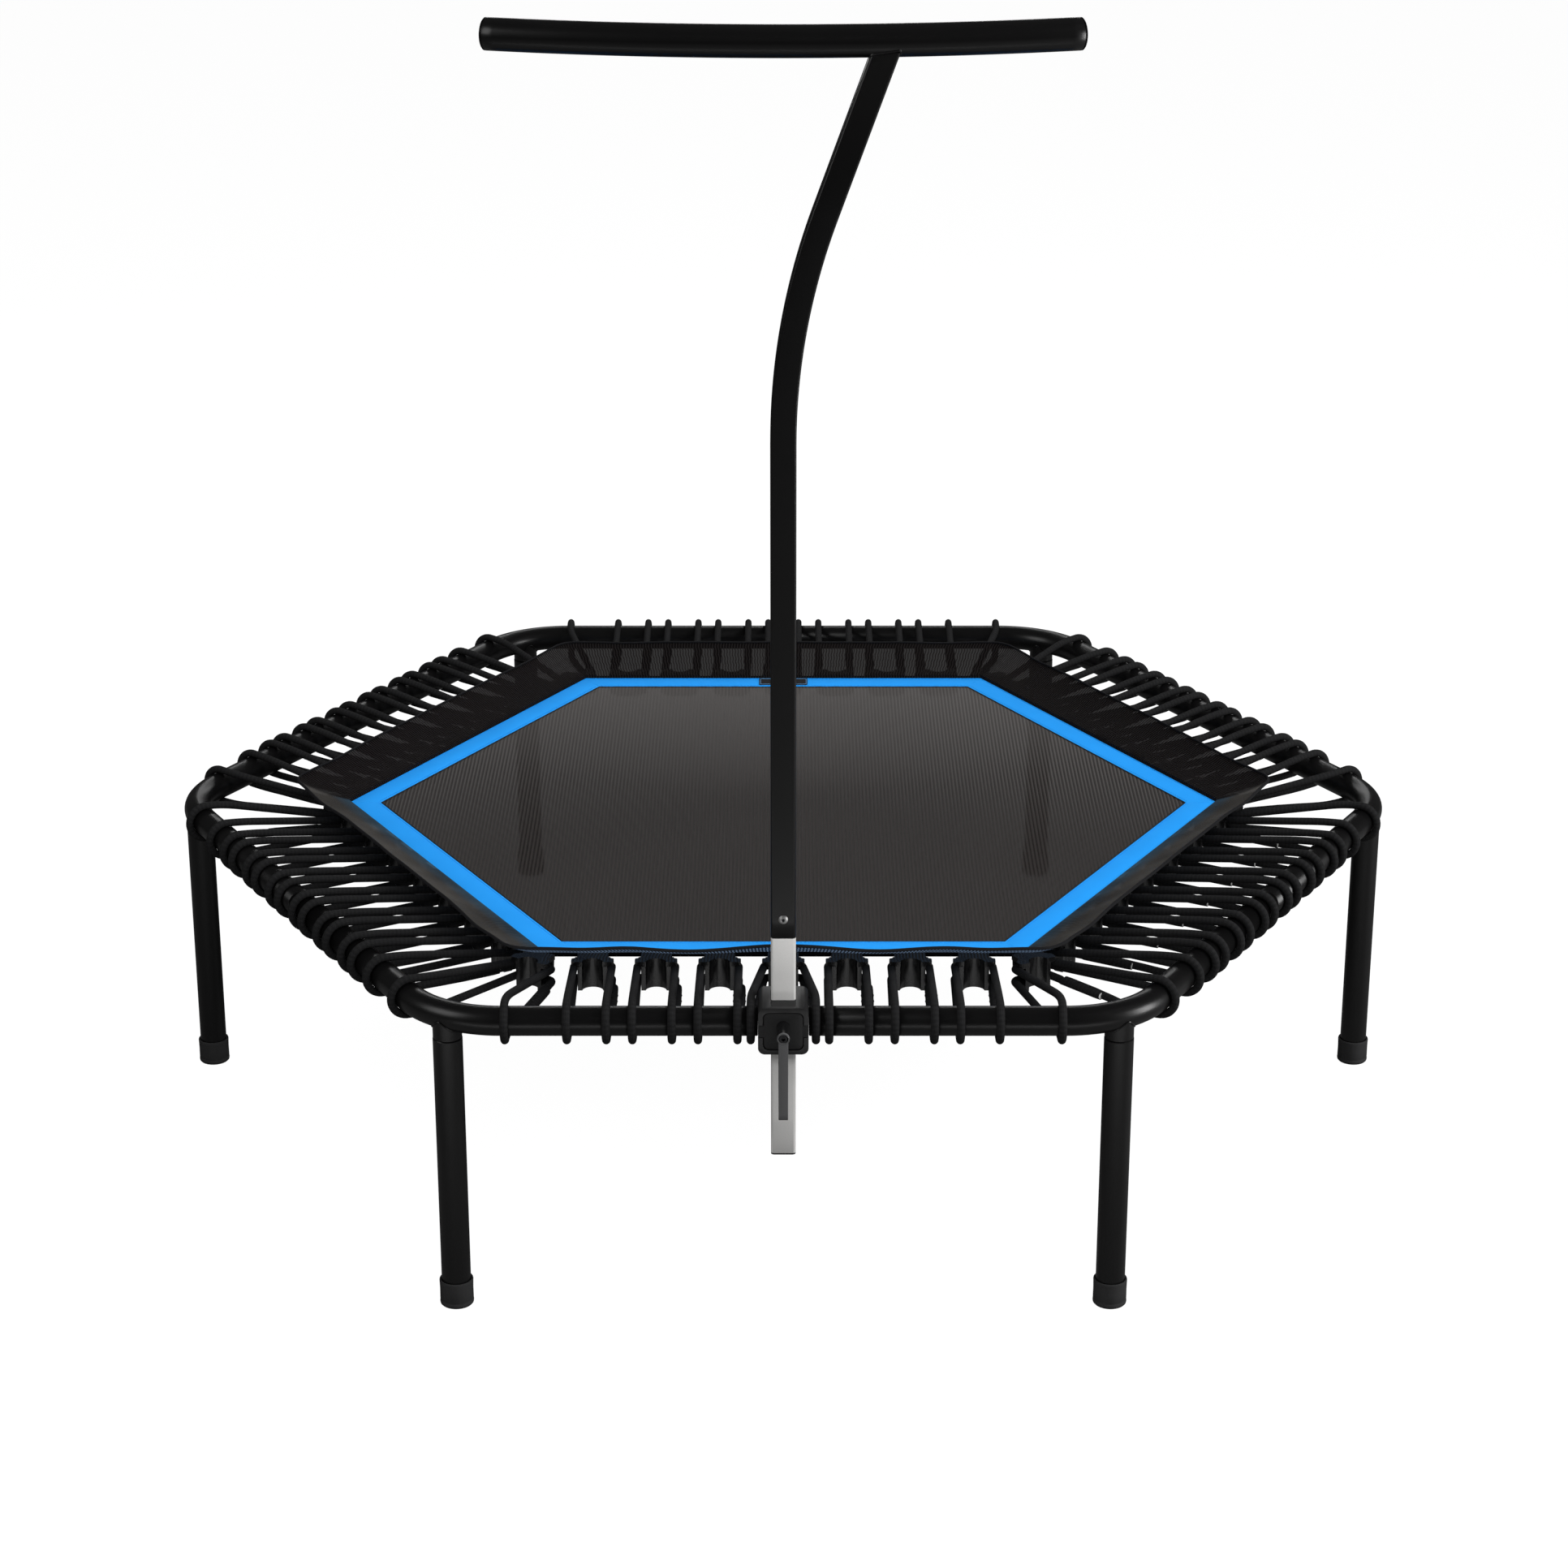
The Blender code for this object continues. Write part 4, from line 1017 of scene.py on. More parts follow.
def set_flat_uvs(obj, outward, along):
    """UVs in metres along and across a side."""
    mesh = obj.data
    layer = mesh.uv_layers[0]
    for loop in mesh.loops:
        co = mesh.vertices[loop.vertex_index].co
        layer.data[loop.index].uv = (co.dot(along), co.dot(outward))


def stitch_row(start, end):
    """A row of short rounded stitches on the +Z side of a line."""
    count = int((end - start).length / STITCH_PITCH)
    way = (end - start).normalized()
    side = way.cross(UP)
    verts = []
    faces = []
    shares = ((0.0, 0.25), (0.12, 0.85), (0.5, 1.0), (0.88, 0.85), (1.0, 0.25))
    sides = 6
    for number in range(count):
        origin = start + way * (number + 0.5) * STITCH_PITCH - way * STITCH_LENGTH / 2
        base = len(verts)
        for share, fat in shares:
            lift = up_by(STITCH_R * 0.7 * math.sin(math.pi * share))
            for across, rise in circle(STITCH_R * fat, sides):
                verts.append(origin + way * STITCH_LENGTH * share + side * across + up_by(rise) + lift)
        for row in range(len(shares) - 1):
            faces += quads(base + row * sides, base + (row + 1) * sides, sides)
        faces.append(tuple(base + index for index in reversed(range(sides))))
        last = base + (len(shares) - 1) * sides
        faces.append(tuple(last + index for index in range(sides)))
    return closed_faces_out(add_mesh("row", verts, faces, "blue_thread", None, 60))


def hem_shift(azimuth, distance):
    """How far the hem sits outward and upward from its even line, from its slack between the corners."""
    share = distance / (HEM_APOTHEM * TAN30)
    wave = noise.noise(Vector((distance * 9, azimuth * 0.37, 0.5)))
    small = noise.noise(Vector((distance * 26, azimuth * 0.21, 4.5)))
    rise = 0.0010 * wave + 0.0005 * small
    out = 0.0012 * noise.noise(Vector((distance * 8, azimuth * 0.13, 9.5)))
    fade = 1 - abs(share) ** 4
    if azimuth == 270:
        rise += HEM_WAVE * math.cos(2 * math.pi * distance / HEM_WAVE_LENGTH)
    dip = 0.0
    for middle_share in (0.72, -0.72):
        dip += HEM_DIP * math.exp(-(((share - middle_share) / 0.13) ** 2))
    return out * fade, rise * fade - (dip if azimuth in (210, 270, 330) else dip * 0.4)


def build_skirt():
    """The flared mesh skirt as a thin closed shell, and the bound hem along its edge."""
    base_out = BAND_OUTER + 0.0006
    base_z = CLIP_TOP + 0.0012
    base = soft_hexagon(base_out, 0.004, SKIRT_PER_SIDE, SKIRT_PER_CORNER)
    hem = soft_hexagon(HEM_APOTHEM - 0.0010, HEM_CORNER_R, SKIRT_PER_SIDE, SKIRT_PER_CORNER)
    rings = []
    marks = []
    path = []
    along_way = 0.0
    before = None
    for (low, _, azimuth, distance), (high, outward, _, high_distance) in zip(base, hem):
        out, rise = hem_shift(azimuth, high_distance)
        top = high + outward * out + up_by(HEM_Z - 0.0014 + rise)
        bottom = low + up_by(base_z)
        path.append(high + outward * out + up_by(HEM_Z + rise))
        if before is not None:
            along_way += (top - before).length
        before = top.copy()
        ripple = 0.0006 * noise.noise(Vector((distance * 30, azimuth * 0.4, 2.0)))
        slope = (top - bottom).normalized()
        normal = outward.cross(UP).cross(slope).normalized()
        tuck = low - outward * SKIRT_TUCK + up_by(BAND_TOP + 0.0003)
        line = [(tuck, outward)]
        for level in range(SKIRT_LEVELS - 1):
            share = level / (SKIRT_LEVELS - 2)
            sag = -SKIRT_SAG * math.sin(math.pi * share) + ripple * math.sin(2 * math.pi * share)
            line.append((bottom.lerp(top, share) + normal * sag, normal))
        ring = [point + way * SKIRT_THICK / 2 for point, way in line]
        ring += [point - way * SKIRT_THICK / 2 for point, way in reversed(line)]
        rings.append(ring)
        marks.append(along_way)
    skirt = closed_faces_out(loft("mat_skirt_sheet", rings, "skirt_mesh", closed=True, sharp=60))
    skirt_uvs(skirt, marks)
    stands_for(skirt, "mat", "mat_skirt")
    build_hem(path)


def skirt_uvs(skirt, marks):
    """UVs in metres: round the skirt and from its base to its hem."""
    mesh = skirt.data
    layer = mesh.uv_layers[0]
    count = 2 * SKIRT_LEVELS
    last = len(marks) - 1
    for polygon in mesh.polygons:
        columns = [mesh.loops[index].vertex_index // count for index in polygon.loop_indices]
        wraps = max(columns) == last and min(columns) == 0
        for index, column in zip(polygon.loop_indices, columns):
            row = mesh.loops[index].vertex_index % count
            level = row if row < SKIRT_LEVELS else count - 1 - row
            way = marks[-1] + 0.003 if wraps and column == 0 else marks[column]
            layer.data[index].uv = (way, SKIRT_WIDTH * level / (SKIRT_LEVELS - 1))


def build_hem(path):
    """A bias-bound hem: a flat folded tape with a raised fold."""
    section = [
        (0.0008, -0.0016), (0.0010, -0.0008), (0.0010, 0.0006), (0.0007, 0.0012), (0.0, 0.0015),
        (-0.0007, 0.0012), (-0.0010, 0.0006), (-0.0010, -0.0008), (-0.0008, -0.0016),
        (0.0, -0.0017),
    ]
    tilt = Matrix.Rotation(math.radians(38), 2)
    section = [tuple(tilt @ Vector(pair)) for pair in section]
    hem = sweep("skirt_hem_binding", path, section, "hem_fabric", closed=True, up=UP, sharp=60)
    stands_for(hem, "mat", "skirt_hem")


def build_label():
    """A plain woven label on the back of the band, with a raised thin border."""
    low, high = LABEL
    centre = (low + high) / 2
    half_x = (high.x - low.x) / 2
    half_y = (high.y - low.y) / 2
    outline = rounded_square(half_x, half_y, 0.0012, 4)
    patch = solid_prism("label_patch", outline, low.z, high.z - 0.0002, "label_fabric", 0.0002, 1)
    patch.location = (centre.x, centre.y, 0)
    stands_for(patch, "mat", "woven_label")
    inset = 0.0016
    path = []
    for x, y in rounded_square(half_x - inset, half_y - inset, 0.0010, 4):
        path.append(Vector((centre.x + x, centre.y + y, high.z - 0.0002)))
    border = sweep("label_border_stitch", path, circle(0.00028, 8), "label_border", closed=True)
    stands_for(border, "mat", "woven_label")


# ---- Clips and cords ------------------------------------------------------------------------------


def clip_pieces():
    """One moulded clip in its own frame: X outward from the mat's edge, Y along it, Z up."""
    half = [
        (0.0008, 0.0150), (0.0060, 0.0154), (0.0120, 0.0152), (0.0136, 0.0156), (0.0141, 0.0172),
        (0.0156, 0.0176), (0.0166, 0.0182), (0.0172, 0.0200), (0.0182, 0.0209), (0.0196, 0.0210),
        (0.0238, 0.0210), (0.0256, 0.0204), (0.0262, 0.0190), (0.0262, 0.0100),
    ]
    half += channel_arc(94, 172, 7)
    outline = [(x, -y) for x, y in half] + [(x, y) for x, y in reversed(half)]
    plate = solid_prism("plate", outline, -0.0026, CLIP_TOP, "black_plastic", 0.0007, 3)
    strap = strap_piece()
    block = solid_prism("block", channel_outline(), CLIP_LOW, -0.0010, "black_plastic", 0.0005, 2)
    lugs = cord_lugs()
    outline = [(0.0105 + x, y) for x, y in rounded_square(0.0066, 0.0149, 0.0012, 3)]
    divider = solid_prism("divider", outline, -0.0158, -0.0129, "black_plastic", 0.0004, 2)
    return join("clip_shape", [plate, strap, block, lugs, divider])


def strap_piece():
    """The folded sleeve by which the clip holds the mat's edge, narrowing downward."""
    rows = ((-0.0155, 0.0128), (-0.0145, 0.0136), (-0.0100, 0.0143), (-0.0020, 0.0148), (0.0010, 0.0148))
    rings = []
    for height, half_y in rows:
        depth = 0.0020 if height > -0.015 else 0.0014
        ring = []
        for x, y in rounded_square(depth, half_y, 0.0010, 3):
            ring.append(Vector((0.0030 + x, y, height)))
        rings.append(ring)
    return closed_faces_out(loft("strap", rings, "black_plastic", sharp=50))


def channel_arc(start, end, steps):
    """Part of the half-pipe hollow in a clip's front, seen from above, between two angles in degrees."""
    points = []
    for step in range(steps + 1):
        angle = math.radians(start + (end - start) * step / steps)
        x = CHANNEL_X + CHANNEL_R * math.cos(angle) * CHANNEL_FLATNESS
        points.append((x, CHANNEL_R * math.sin(angle)))
    return points


def channel_outline():
    """The block below the plate, seen from above: a back wall and two ribs round an open half-pipe."""
    back, front, half = BLOCK_BACK, BLOCK_FRONT, BLOCK_HALF
    outline = [(back, -half + 0.002), (back, half - 0.002), (back + 0.002, half), (front, half)]
    outline.append((front, CHANNEL_R + 0.0006))
    outline += channel_arc(94, 266, 16)
    outline.append((front, -CHANNEL_R - 0.0006))
    outline += [(front, -half), (back + 0.002, -half)]
    return outline


def cord_lugs():
    """Two small lugs under the ears that keep the cords behind the block."""
    lugs = []
    for side in (-1, 1):
        outline = [(0.0200 + x, side * 0.0186 + y) for x, y in rounded_square(0.0040, 0.0019, 0.0012, 3)]
        lugs.append(solid_prism("lug", outline, -0.0040, -0.0015, "black_plastic", 0.0006, 2))
    return join("lugs", lugs)


def edge_frame(azimuth, distance, corner=False):
    """Maps a clip's own frame to the mat's edge, at a distance from a side's middle or at a corner."""
    outward, along = directions(azimuth)
    reach = BAND_OUTER / COS30 if corner else BAND_OUTER
    turn = Matrix.Rotation(math.radians(azimuth), 4, "Z")
    return Matrix.Translation(outward * reach + along * distance) @ turn


def build_clips():
    """Seven clips along each side and one at each corner, with the webbing that they grip."""
    shape = clip_pieces()
    for name, azimuth in SIDES.items():
        node = "clip_row_" + name
        for index in range(-CLIPS_EACH_SIDE, CLIPS_EACH_SIDE + 1):
            place = edge_frame(azimuth, index * CLIP_PITCH)
            add_clip(f"clip_{name}_{index + CLIPS_EACH_SIDE + 1}", shape, place, node)
        corner_name = CORNER_AT[(azimuth + 30) % 360]
        add_clip("clip_corner_" + corner_name, shape, edge_frame(azimuth + 30, 0, True), node)
        stands_for(edge_strip("mat_edge_webbing_" + name, azimuth), "mat", node)
    bpy.data.objects.remove(shape)


def add_clip(name, shape, place, node):
    clip = bpy.data.objects.new(name, shape.data)
    bpy.context.scene.collection.objects.link(clip)
    clip.matrix_world = place
    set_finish(clip, "black_plastic")
    stands_for(clip, "mat", node)


def edge_strip(name, azimuth):
    """The turned-up webbing along one side of the mat."""
    outward, along = directions(azimuth)
    rings = []
    for share in (-1, -0.5, 0, 0.5, 1):
        ring = []
        for x, z in rounded_square(0.0007, (CLIP_TOP - MAT_LOW) / 2, 0.0004, 3):
            apothem = BAND_OUTER + 0.0014 + x
            height = (CLIP_TOP + MAT_LOW) / 2 + z
            end = apothem * TAN30 - 0.0003
            ring.append(outward * apothem + along * share * end + up_by(height))
        rings.append(ring)
    return closed_faces_out(loft(name, rings, "edge_webbing"))


def fillet(points, corner, before, after, radius, steps=6):
    """Adds a rounded corner to a path, between the directions to the points before and after it."""
    start = corner + (before - corner).normalized() * radius
    end = corner + (after - corner).normalized() * radius
    for step in range(steps + 1):
        share = step / steps
        points.append(start * (1 - share) ** 2 + corner * 2 * share * (1 - share) + end * share**2)


def cord_wrap(side_azimuth, distance, upper, lower, steps=22):
    """One strand over the frame tube and back under it, with a soft bend toward the clip at each end."""
    point, radial = frame_place(side_azimuth, distance)
    points = []
    for step in range(steps + 1):
        angle = math.radians(CORD_START_DEG + (CORD_END_DEG - CORD_START_DEG) * step / steps)
        lift = up_by(CORD_WRAP_R * math.sin(angle))
        points.append(point + radial * CORD_WRAP_R * math.cos(angle) + lift)
    first = points[0] + (points[0] - points[1]).normalized() * CORD_EASE
    last = points[-1] + (points[-1] - points[-2]).normalized() * CORD_EASE
    way_in = []
    fillet(way_in, first, upper, points[0], CORD_EASE * CORD_EASE_SHARE)
    way_out = []
    fillet(way_out, last, points[-1], lower, CORD_EASE * CORD_EASE_SHARE)
    return way_in + points + way_out


def strand(points, start, end, steps=5):
    """Points between two places, without either end."""
    for step in range(1, steps):
        points.append(start.lerp(end, step / steps))


def cord_path(place, left, right):
    """An open path round a whole loop. It starts and ends in the splice on the right-hand lower strand."""

    def at_clip(across, height):
        return place @ Vector((CORD_BACK, across, height))

    half = CORD_HALF_AT_CLIP
    upper_left, upper_right = at_clip(-half, CORD_UPPER_Z), at_clip(half, CORD_UPPER_Z)
    lower_left, lower_right = at_clip(-half, CORD_LOWER_Z), at_clip(half, CORD_LOWER_Z)
    over_left = cord_wrap(*left, upper_left, lower_left)
    over_right = cord_wrap(*right, upper_right, lower_right)
    far = over_right[-1]
    way = (far - lower_right).normalized()
    side = (place.to_3x3() @ Vector((0, 1, 0))).normalized()
    splice = lower_right + way * SPLICE_OUT

    points = []
    for step in range(9):
        share = step / 8
        shift = SPLICE_SIDE if share < 0.75 else SPLICE_SIDE * (1 - (share - 0.75) / 0.25 * 0.3)
        points.append(splice + way * SPLICE_HALF * (2 * share - 1) + side * shift)
    ease(points, splice + way * SPLICE_HALF, far, side * SPLICE_SIDE * 0.7)
    points += reversed(over_right)
    strand(points, over_right[0], upper_right, 8)
    fillet(points, upper_right, over_right[0], upper_left, CORD_HOOK_R)
    fillet(points, upper_left, upper_right, over_left[0], CORD_HOOK_R)
    strand(points, upper_left, over_left[0], 8)
    points += over_left
    strand(points, over_left[-1], lower_left, 8)
    fillet(points, lower_left, over_left[-1], lower_right, CORD_HOOK_R)
    fillet(points, lower_right, lower_left, far, CORD_HOOK_R)
    start = splice - way * SPLICE_HALF
    strand(points, lower_right + way * CORD_SLACK, start)
    for step in range(9):
        share = step / 8
        points.append(splice + way * SPLICE_HALF * (2 * share - 1) - side * SPLICE_TUCK)
    return points, splice, way, side


def ease(points, start, end, shift, steps=5):
    """A strand that eases out of a sideways shift."""
    for step in range(1, steps):
        share = step / steps
        smooth = share * share * (3 - 2 * share)
        points.append(start.lerp(end, share) + shift * (1 - smooth))


def add_cord(name, place, left, right, node):
    """One bungee loop with its spliced ends and the two crimps round them."""
    points, splice, way, side = cord_path(place, left, right)
    scales = [1.0] * len(points)
    scales[0] = scales[-1] = 0.93
    loop = sweep("loop", points, circle(CORD_R, 16), "cord", scales=scales, sharp=60)
    up = way.cross(side).normalized()
    ends = []
    for centre in (points[0] - way * 0.0001, points[-1] + way * 0.0001):
        axis = way if (centre - splice).dot(way) > 0 else -way
        profile = [(0, 0.0003), (0.0022, 0.00025), (0.0034, 0.0001), (0.0036, -0.0006), (0, -0.0006)]
        ends.append(turned("end", profile, "cord_core", centre, axis, 14))
    rings = []
    for shift in (-CRIMP_HALF, CRIMP_HALF):
        centre = splice + way * shift + side * (SPLICE_SIDE - SPLICE_TUCK) / 2
        path = []
        for step in range(28):
            angle = 2 * math.pi * step / 28
            wide = (SPLICE_SIDE + SPLICE_TUCK) / 2 + CORD_R + 0.0001
            lean = way * CRIMP_LEAN * math.sin(angle)
            across = side * wide * math.cos(angle)
            path.append(centre + across + up * (CORD_R + 0.0002) * math.sin(angle) + lean)
        rings.append(sweep("ring", path, circle(CRIMP_WIRE, 8), "dark_steel", closed=True))
    cord_piece = join(name, [loop, *ends, *rings])
    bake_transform(cord_piece)
    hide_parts(node)


def build_cords():
    """A loop at each clip, and one round each corner."""
    for name, azimuth in SIDES.items():
        node = "bungee_row_" + name
        for index in range(-CLIPS_EACH_SIDE, CLIPS_EACH_SIDE + 1):
            middle_place = index * CORD_PITCH
            at_housing = name == "front" and index == 0
            half = CORD_HALF_AT_HOUSING if at_housing else CORD_HALF_AT_TUBE
            left = (azimuth, middle_place - half)
            right = (azimuth, middle_place + half)
            place = edge_frame(azimuth, index * CLIP_PITCH)
            number = index + CLIPS_EACH_SIDE + 1
            add_cord(f"bungee_{name}_{number}", place, left, right, node)
        corner = azimuth + 30
        corner_name = CORNER_AT[corner % 360]
        place = edge_frame(corner, 0, True)
        left = (azimuth, CORD_CORNER_S)
        right = (azimuth + 60, -CORD_CORNER_S)
        add_cord("bungee_corner_" + corner_name, place, left, right, node)


# ---- Handle ---------------------------------------------------------------------------------------


def post_bend(steps=24):
    points = []
    for step in range(steps + 1):
        angle = POST_BEND * step / steps
        x = POST_BEND_R * (1 - math.cos(angle))
        points.append(Vector((x, POST_Y, BEND_START + POST_BEND_R * math.sin(angle))))
    return points


def post_top():
    last = post_bend()[-1]
    rise = BAR_Z - last.z
    return Vector((last.x + rise * math.tan(POST_BEND), POST_Y, BAR_Z))


def bar_point(x):
    """The handlebar's centre-line at a distance from its middle."""
    radius = (BAR_HALF**2 + BAR_SWEEP**2) / (2 * BAR_SWEEP)
    middle_y = POST_Y - (radius - math.sqrt(radius**2 - post_top().x ** 2))
    return Vector((x, middle_y + radius - math.sqrt(radius**2 - x**2), BAR_Z))


def build_post():
    """Lower and upper post tube."""
    half = POST_W / 2
    outer = rounded_square(half, half, POST_CORNER, 6)
    inner = rounded_square(half - POST_WALL, half - POST_WALL, POST_CORNER - 0.0012, 6)
    up = Vector((0, 1, 0))
    low = [Vector((0, POST_Y, POST_BOTTOM)), Vector((0, POST_Y, POST_SEAM))]
    low = [low[0].lerp(low[1], step / 6) for step in range(7)]
    lower = tube("post_lower_tube", low, outer, inner, "silver_paint", 0.0005, up)
    stands_for(lower, "handle", "post_lower")
    top = post_top()
    way = Vector((math.sin(POST_BEND), 0, math.cos(POST_BEND)))
    high = [Vector((0, POST_Y, POST_SEAM + GAP)), Vector((0, POST_Y, POST_SEAM + 0.02))]
    high += [Vector((0, POST_Y, POST_STRAIGHT_MARK)), *post_bend(), top - way * 0.0055]
    upper = tube("post_upper_tube", high, outer, inner, "black_paint", 0.0005, up)
    stands_for(upper, "handle", "post_upper")


def build_post_weld():
    """The weld bead where the post's top meets the underside of the handlebar."""
    half = POST_W / 2
    top = post_top()
    weld = []
    for across, depth in rounded_square(half, half, POST_CORNER, 10):
        y = POST_Y + depth
        side = Vector((math.cos(POST_BEND), 0, -math.sin(POST_BEND))) * across
        x = top.x + side.x
        for _ in range(4):
            centre = bar_point(x)
            z = BAR_Z - math.sqrt(max(TUBE_R**2 - (y - centre.y) ** 2, 0.000001))
            x = top.x + side.x + (z - BAR_Z - side.z) * math.tan(POST_BEND)
        weld.append(Vector((x, y, z)))
    weld = spread(weld, 84)
    ripple = [1.0 + 0.14 * math.sin(index * 2 * math.pi / 4.2) for index in range(len(weld))]
    bead = sweep("post_weld", weld, circle(0.0012, 8), "black_paint", closed=True, scales=ripple)
    stands_for(bead, "handle", "post_upper")


def build_post_plug():
    """The face of the plug in the post's bottom end."""
    half = POST_W / 2
    rings = []
    for depth, inset in ((0.0003, 0.0), (0.0010, 0.0), (0.0015, 0.0006)):
        ring = []
        for x, y in rounded_square(half - inset, half - inset, POST_CORNER, 6):
            ring.append(Vector((x, POST_Y + y, POST_BOTTOM - depth)))
        rings.append(ring)
    foot = closed_faces_out(loft("post_plug_face", rings, "black_plastic"))
    stands_for(foot, "handle", "post_bottom_plug")


def spread(points, count):
    """Evenly spaced points round a closed path."""
    lengths = [0.0]
    for index, point in enumerate(points):
        lengths.append(lengths[-1] + (points[(index + 1) % len(points)] - point).length)
    result = []
    row = 0
    for index in range(count):
        target = lengths[-1] * index / count
        while lengths[row + 1] < target:
            row += 1
        share = (target - lengths[row]) / max(lengths[row + 1] - lengths[row], 1e-9)
        result.append(points[row].lerp(points[(row + 1) % len(points)], share))
    return result


def build_bolt():
    """A button-head bolt with a hexagonal socket."""
    head = POST_Y - POST_W / 2 - GAP
    profile = [
        (0, 0.0005), (0.0017, 0.0008), (0.0017, 0.0023), (0.0020, 0.00245), (0.0028, 0.0023),
        (0.0036, 0.0017), (0.0042, 0.0009), (0.0045, 0.0001), (0.0044, 0.0), (0.0, 0.0),
    ]
    bolt = turned_at_front("post_bolt_head", profile, "zinc", head, BOLT_Z, 36)
    stands_for(bolt, "handle", "post_bolt")
    outline = circle(0.0016, 6)
    socket = solid_prism("socket", outline, 0.00085, 0.0010, "dark_steel", 0)
    socket.rotation_euler.x = math.radians(90)
    socket.location = (0, head, BOLT_Z)
    bpy.context.view_layer.update()
    socket = join("post_bolt_socket", [socket])
    stands_for(socket, "handle", "post_bolt")


def build_bar():
    steps = 48
    points = [bar_point(BAR_HALF * (2 * step / steps - 1)) for step in range(steps + 1)]
    outer = circle(TUBE_R, 48)
    inner = circle(TUBE_R - TUBE_WALL, 48)
    bar = tube("handlebar_tube", points, outer, inner, "black_paint", 0.0008, UP)
    stands_for(bar, "handle", "handlebar")
    profile = [
        (0, BAR_PLUG), (TUBE_R * 0.35, BAR_PLUG - 0.00005), (TUBE_R * 0.62, BAR_PLUG - 0.0003),
        (TUBE_R * 0.82, BAR_PLUG - 0.0008), (TUBE_R * 0.94, BAR_PLUG - 0.0015),
        (TUBE_R - 0.0001, BAR_PLUG - 0.0022), (TUBE_R - 0.0001, GAP),
        (TUBE_R - TUBE_WALL - GAP, GAP), (TUBE_R - TUBE_WALL - GAP, -0.012), (0, -0.012),
    ]
    ends = (("left", points[0], points[1]), ("right", points[-1], points[-2]))
    for name, place, before in ends:
        plug = turned("bar_end_cap_" + name, profile, "black_plastic", place, place - before, 48)
        stands_for(plug, "handle", "bar_plug_" + name)


# ---- Clamp ----------------------------------------------------------------------------------------


def y_block(name, half_x, half_z, corner, steps, stops, material, shrink=0.5, sharp=35):
    """Skins rounded squares that stand across Y. Stops are (y, inset), and corners shrink with the inset."""
    rings = []
    for y, inset in stops:
        outline = rounded_square(half_x - inset, half_z - inset, corner - inset * shrink, steps)
        rings.append([Vector((x, y, FRAME_Z + z)) for x, z in outline])
    return closed_faces_out(loft(name, rings, material, sharp=sharp))


def box_at(y, name, half_x, half_y, corner, steps, low, high, material, bevel=0, segments=2):
    """An upright prism with rounded corners at a place along Y."""
    outline = rounded_square(half_x, half_y, corner, steps)
    piece = solid_prism(name, outline, low, high, material, bevel, segments)
    piece.location = (0, y, 0)
    return piece


def build_housing():
    """The housing with its openings, and the front cap with the pad in front of the post."""
    front, back = HOUSING[0].y, HOUSING[1].y
    top = HOUSING[1].z
    half = HOUSING_W / 2
    recess = front + CAP_DEPTH
    edge = 0.0008
    stops = [(front, edge), (front + edge * 0.3, edge * 0.3), (front + edge, 0), (back - edge, 0)]
    stops.append((back, edge))
    block = y_block("clamp_housing_body", half, half, 0.0065, 8, stops, "housing_paint")
    clear = POST_W / 2 + 0.0004
    way = box_at(POST_Y, "way", clear, clear, 0.0024, 5, -0.06, 0.06, "housing_paint")
    way.location.z = FRAME_Z
    cut(block, way)
    pad_y = POST_Y - clear - 0.0078
    slot_low, slot_high = top - 0.004, top + 0.01
    slot = box_at(pad_y, "slot", clear - 0.0004, 0.0082, 0.0010, 3, slot_low, slot_high, "cap_plastic")
    cut(block, slot)
    pad_low, pad_high = top - 0.0036, top - 0.0003
    pad = box_at(pad_y, "pad", clear - 0.0008, 0.0077, 0.0008, 3, pad_low, pad_high, "cap_plastic", 0.0003, 1)
    through = [(front - 0.01, 0), (recess, 0)]
    cut(block, y_block("recess", CAP_W / 2, CAP_W / 2, 0.0060, 8, through, "housing_paint"))
    cut(block, y_block("slots", half + 0.002, CAP_TAB_H / 2, 0.0003, 2, through, "housing_paint"))
    profile = [(0, 0.02), (0.0073, 0.02), (0.0073, -0.02), (0, -0.02)]
    cut(block, turned_at_front("bore", profile, "housing_paint", POST_Y - POST_W / 2 - 0.008, LEVER_Z, 32))
    stands_for(block, "frame", "clamp_housing")
    build_housing_cap(front, recess, half, pad)


def build_housing_cap(front, recess, half, pad):
    """The crowned cap and its two side tabs, with the hole for the lever."""
    width = CAP_W / 2 - CAP_GAP
    stops = [(front - 0.0012, 0.0090), (front - 0.0009, 0.0045), (front - 0.0001, 0.0012)]
    stops += [(front + 0.0004, 0.0004), (front + 0.0012, 0), (recess - GAP, 0)]
    face = y_block("cap_face", width, width, 0.0057, 8, stops, "cap_plastic", sharp=50)
    stops = [(front, 0.0005), (front + 0.0004, 0.0001), (front + 0.0008, 0), (recess - 0.0005, 0)]
    tab = y_block("cap_tabs", half, CAP_TAB_H / 2 - GAP, 0.0008, 3, stops, "cap_plastic", 0, 50)
    for piece in (face, tab):
        profile = [(0, 0.03), (0.0045, 0.03), (0.0045, -0.03), (0, -0.03)]
        cut(piece, turned_at_front("hole", profile, "cap_plastic", front, LEVER_Z, 28))
    cap_piece = join("housing_cap_face", [face, tab, pad])
    stands_for(cap_piece, "frame", "housing_front_cap")


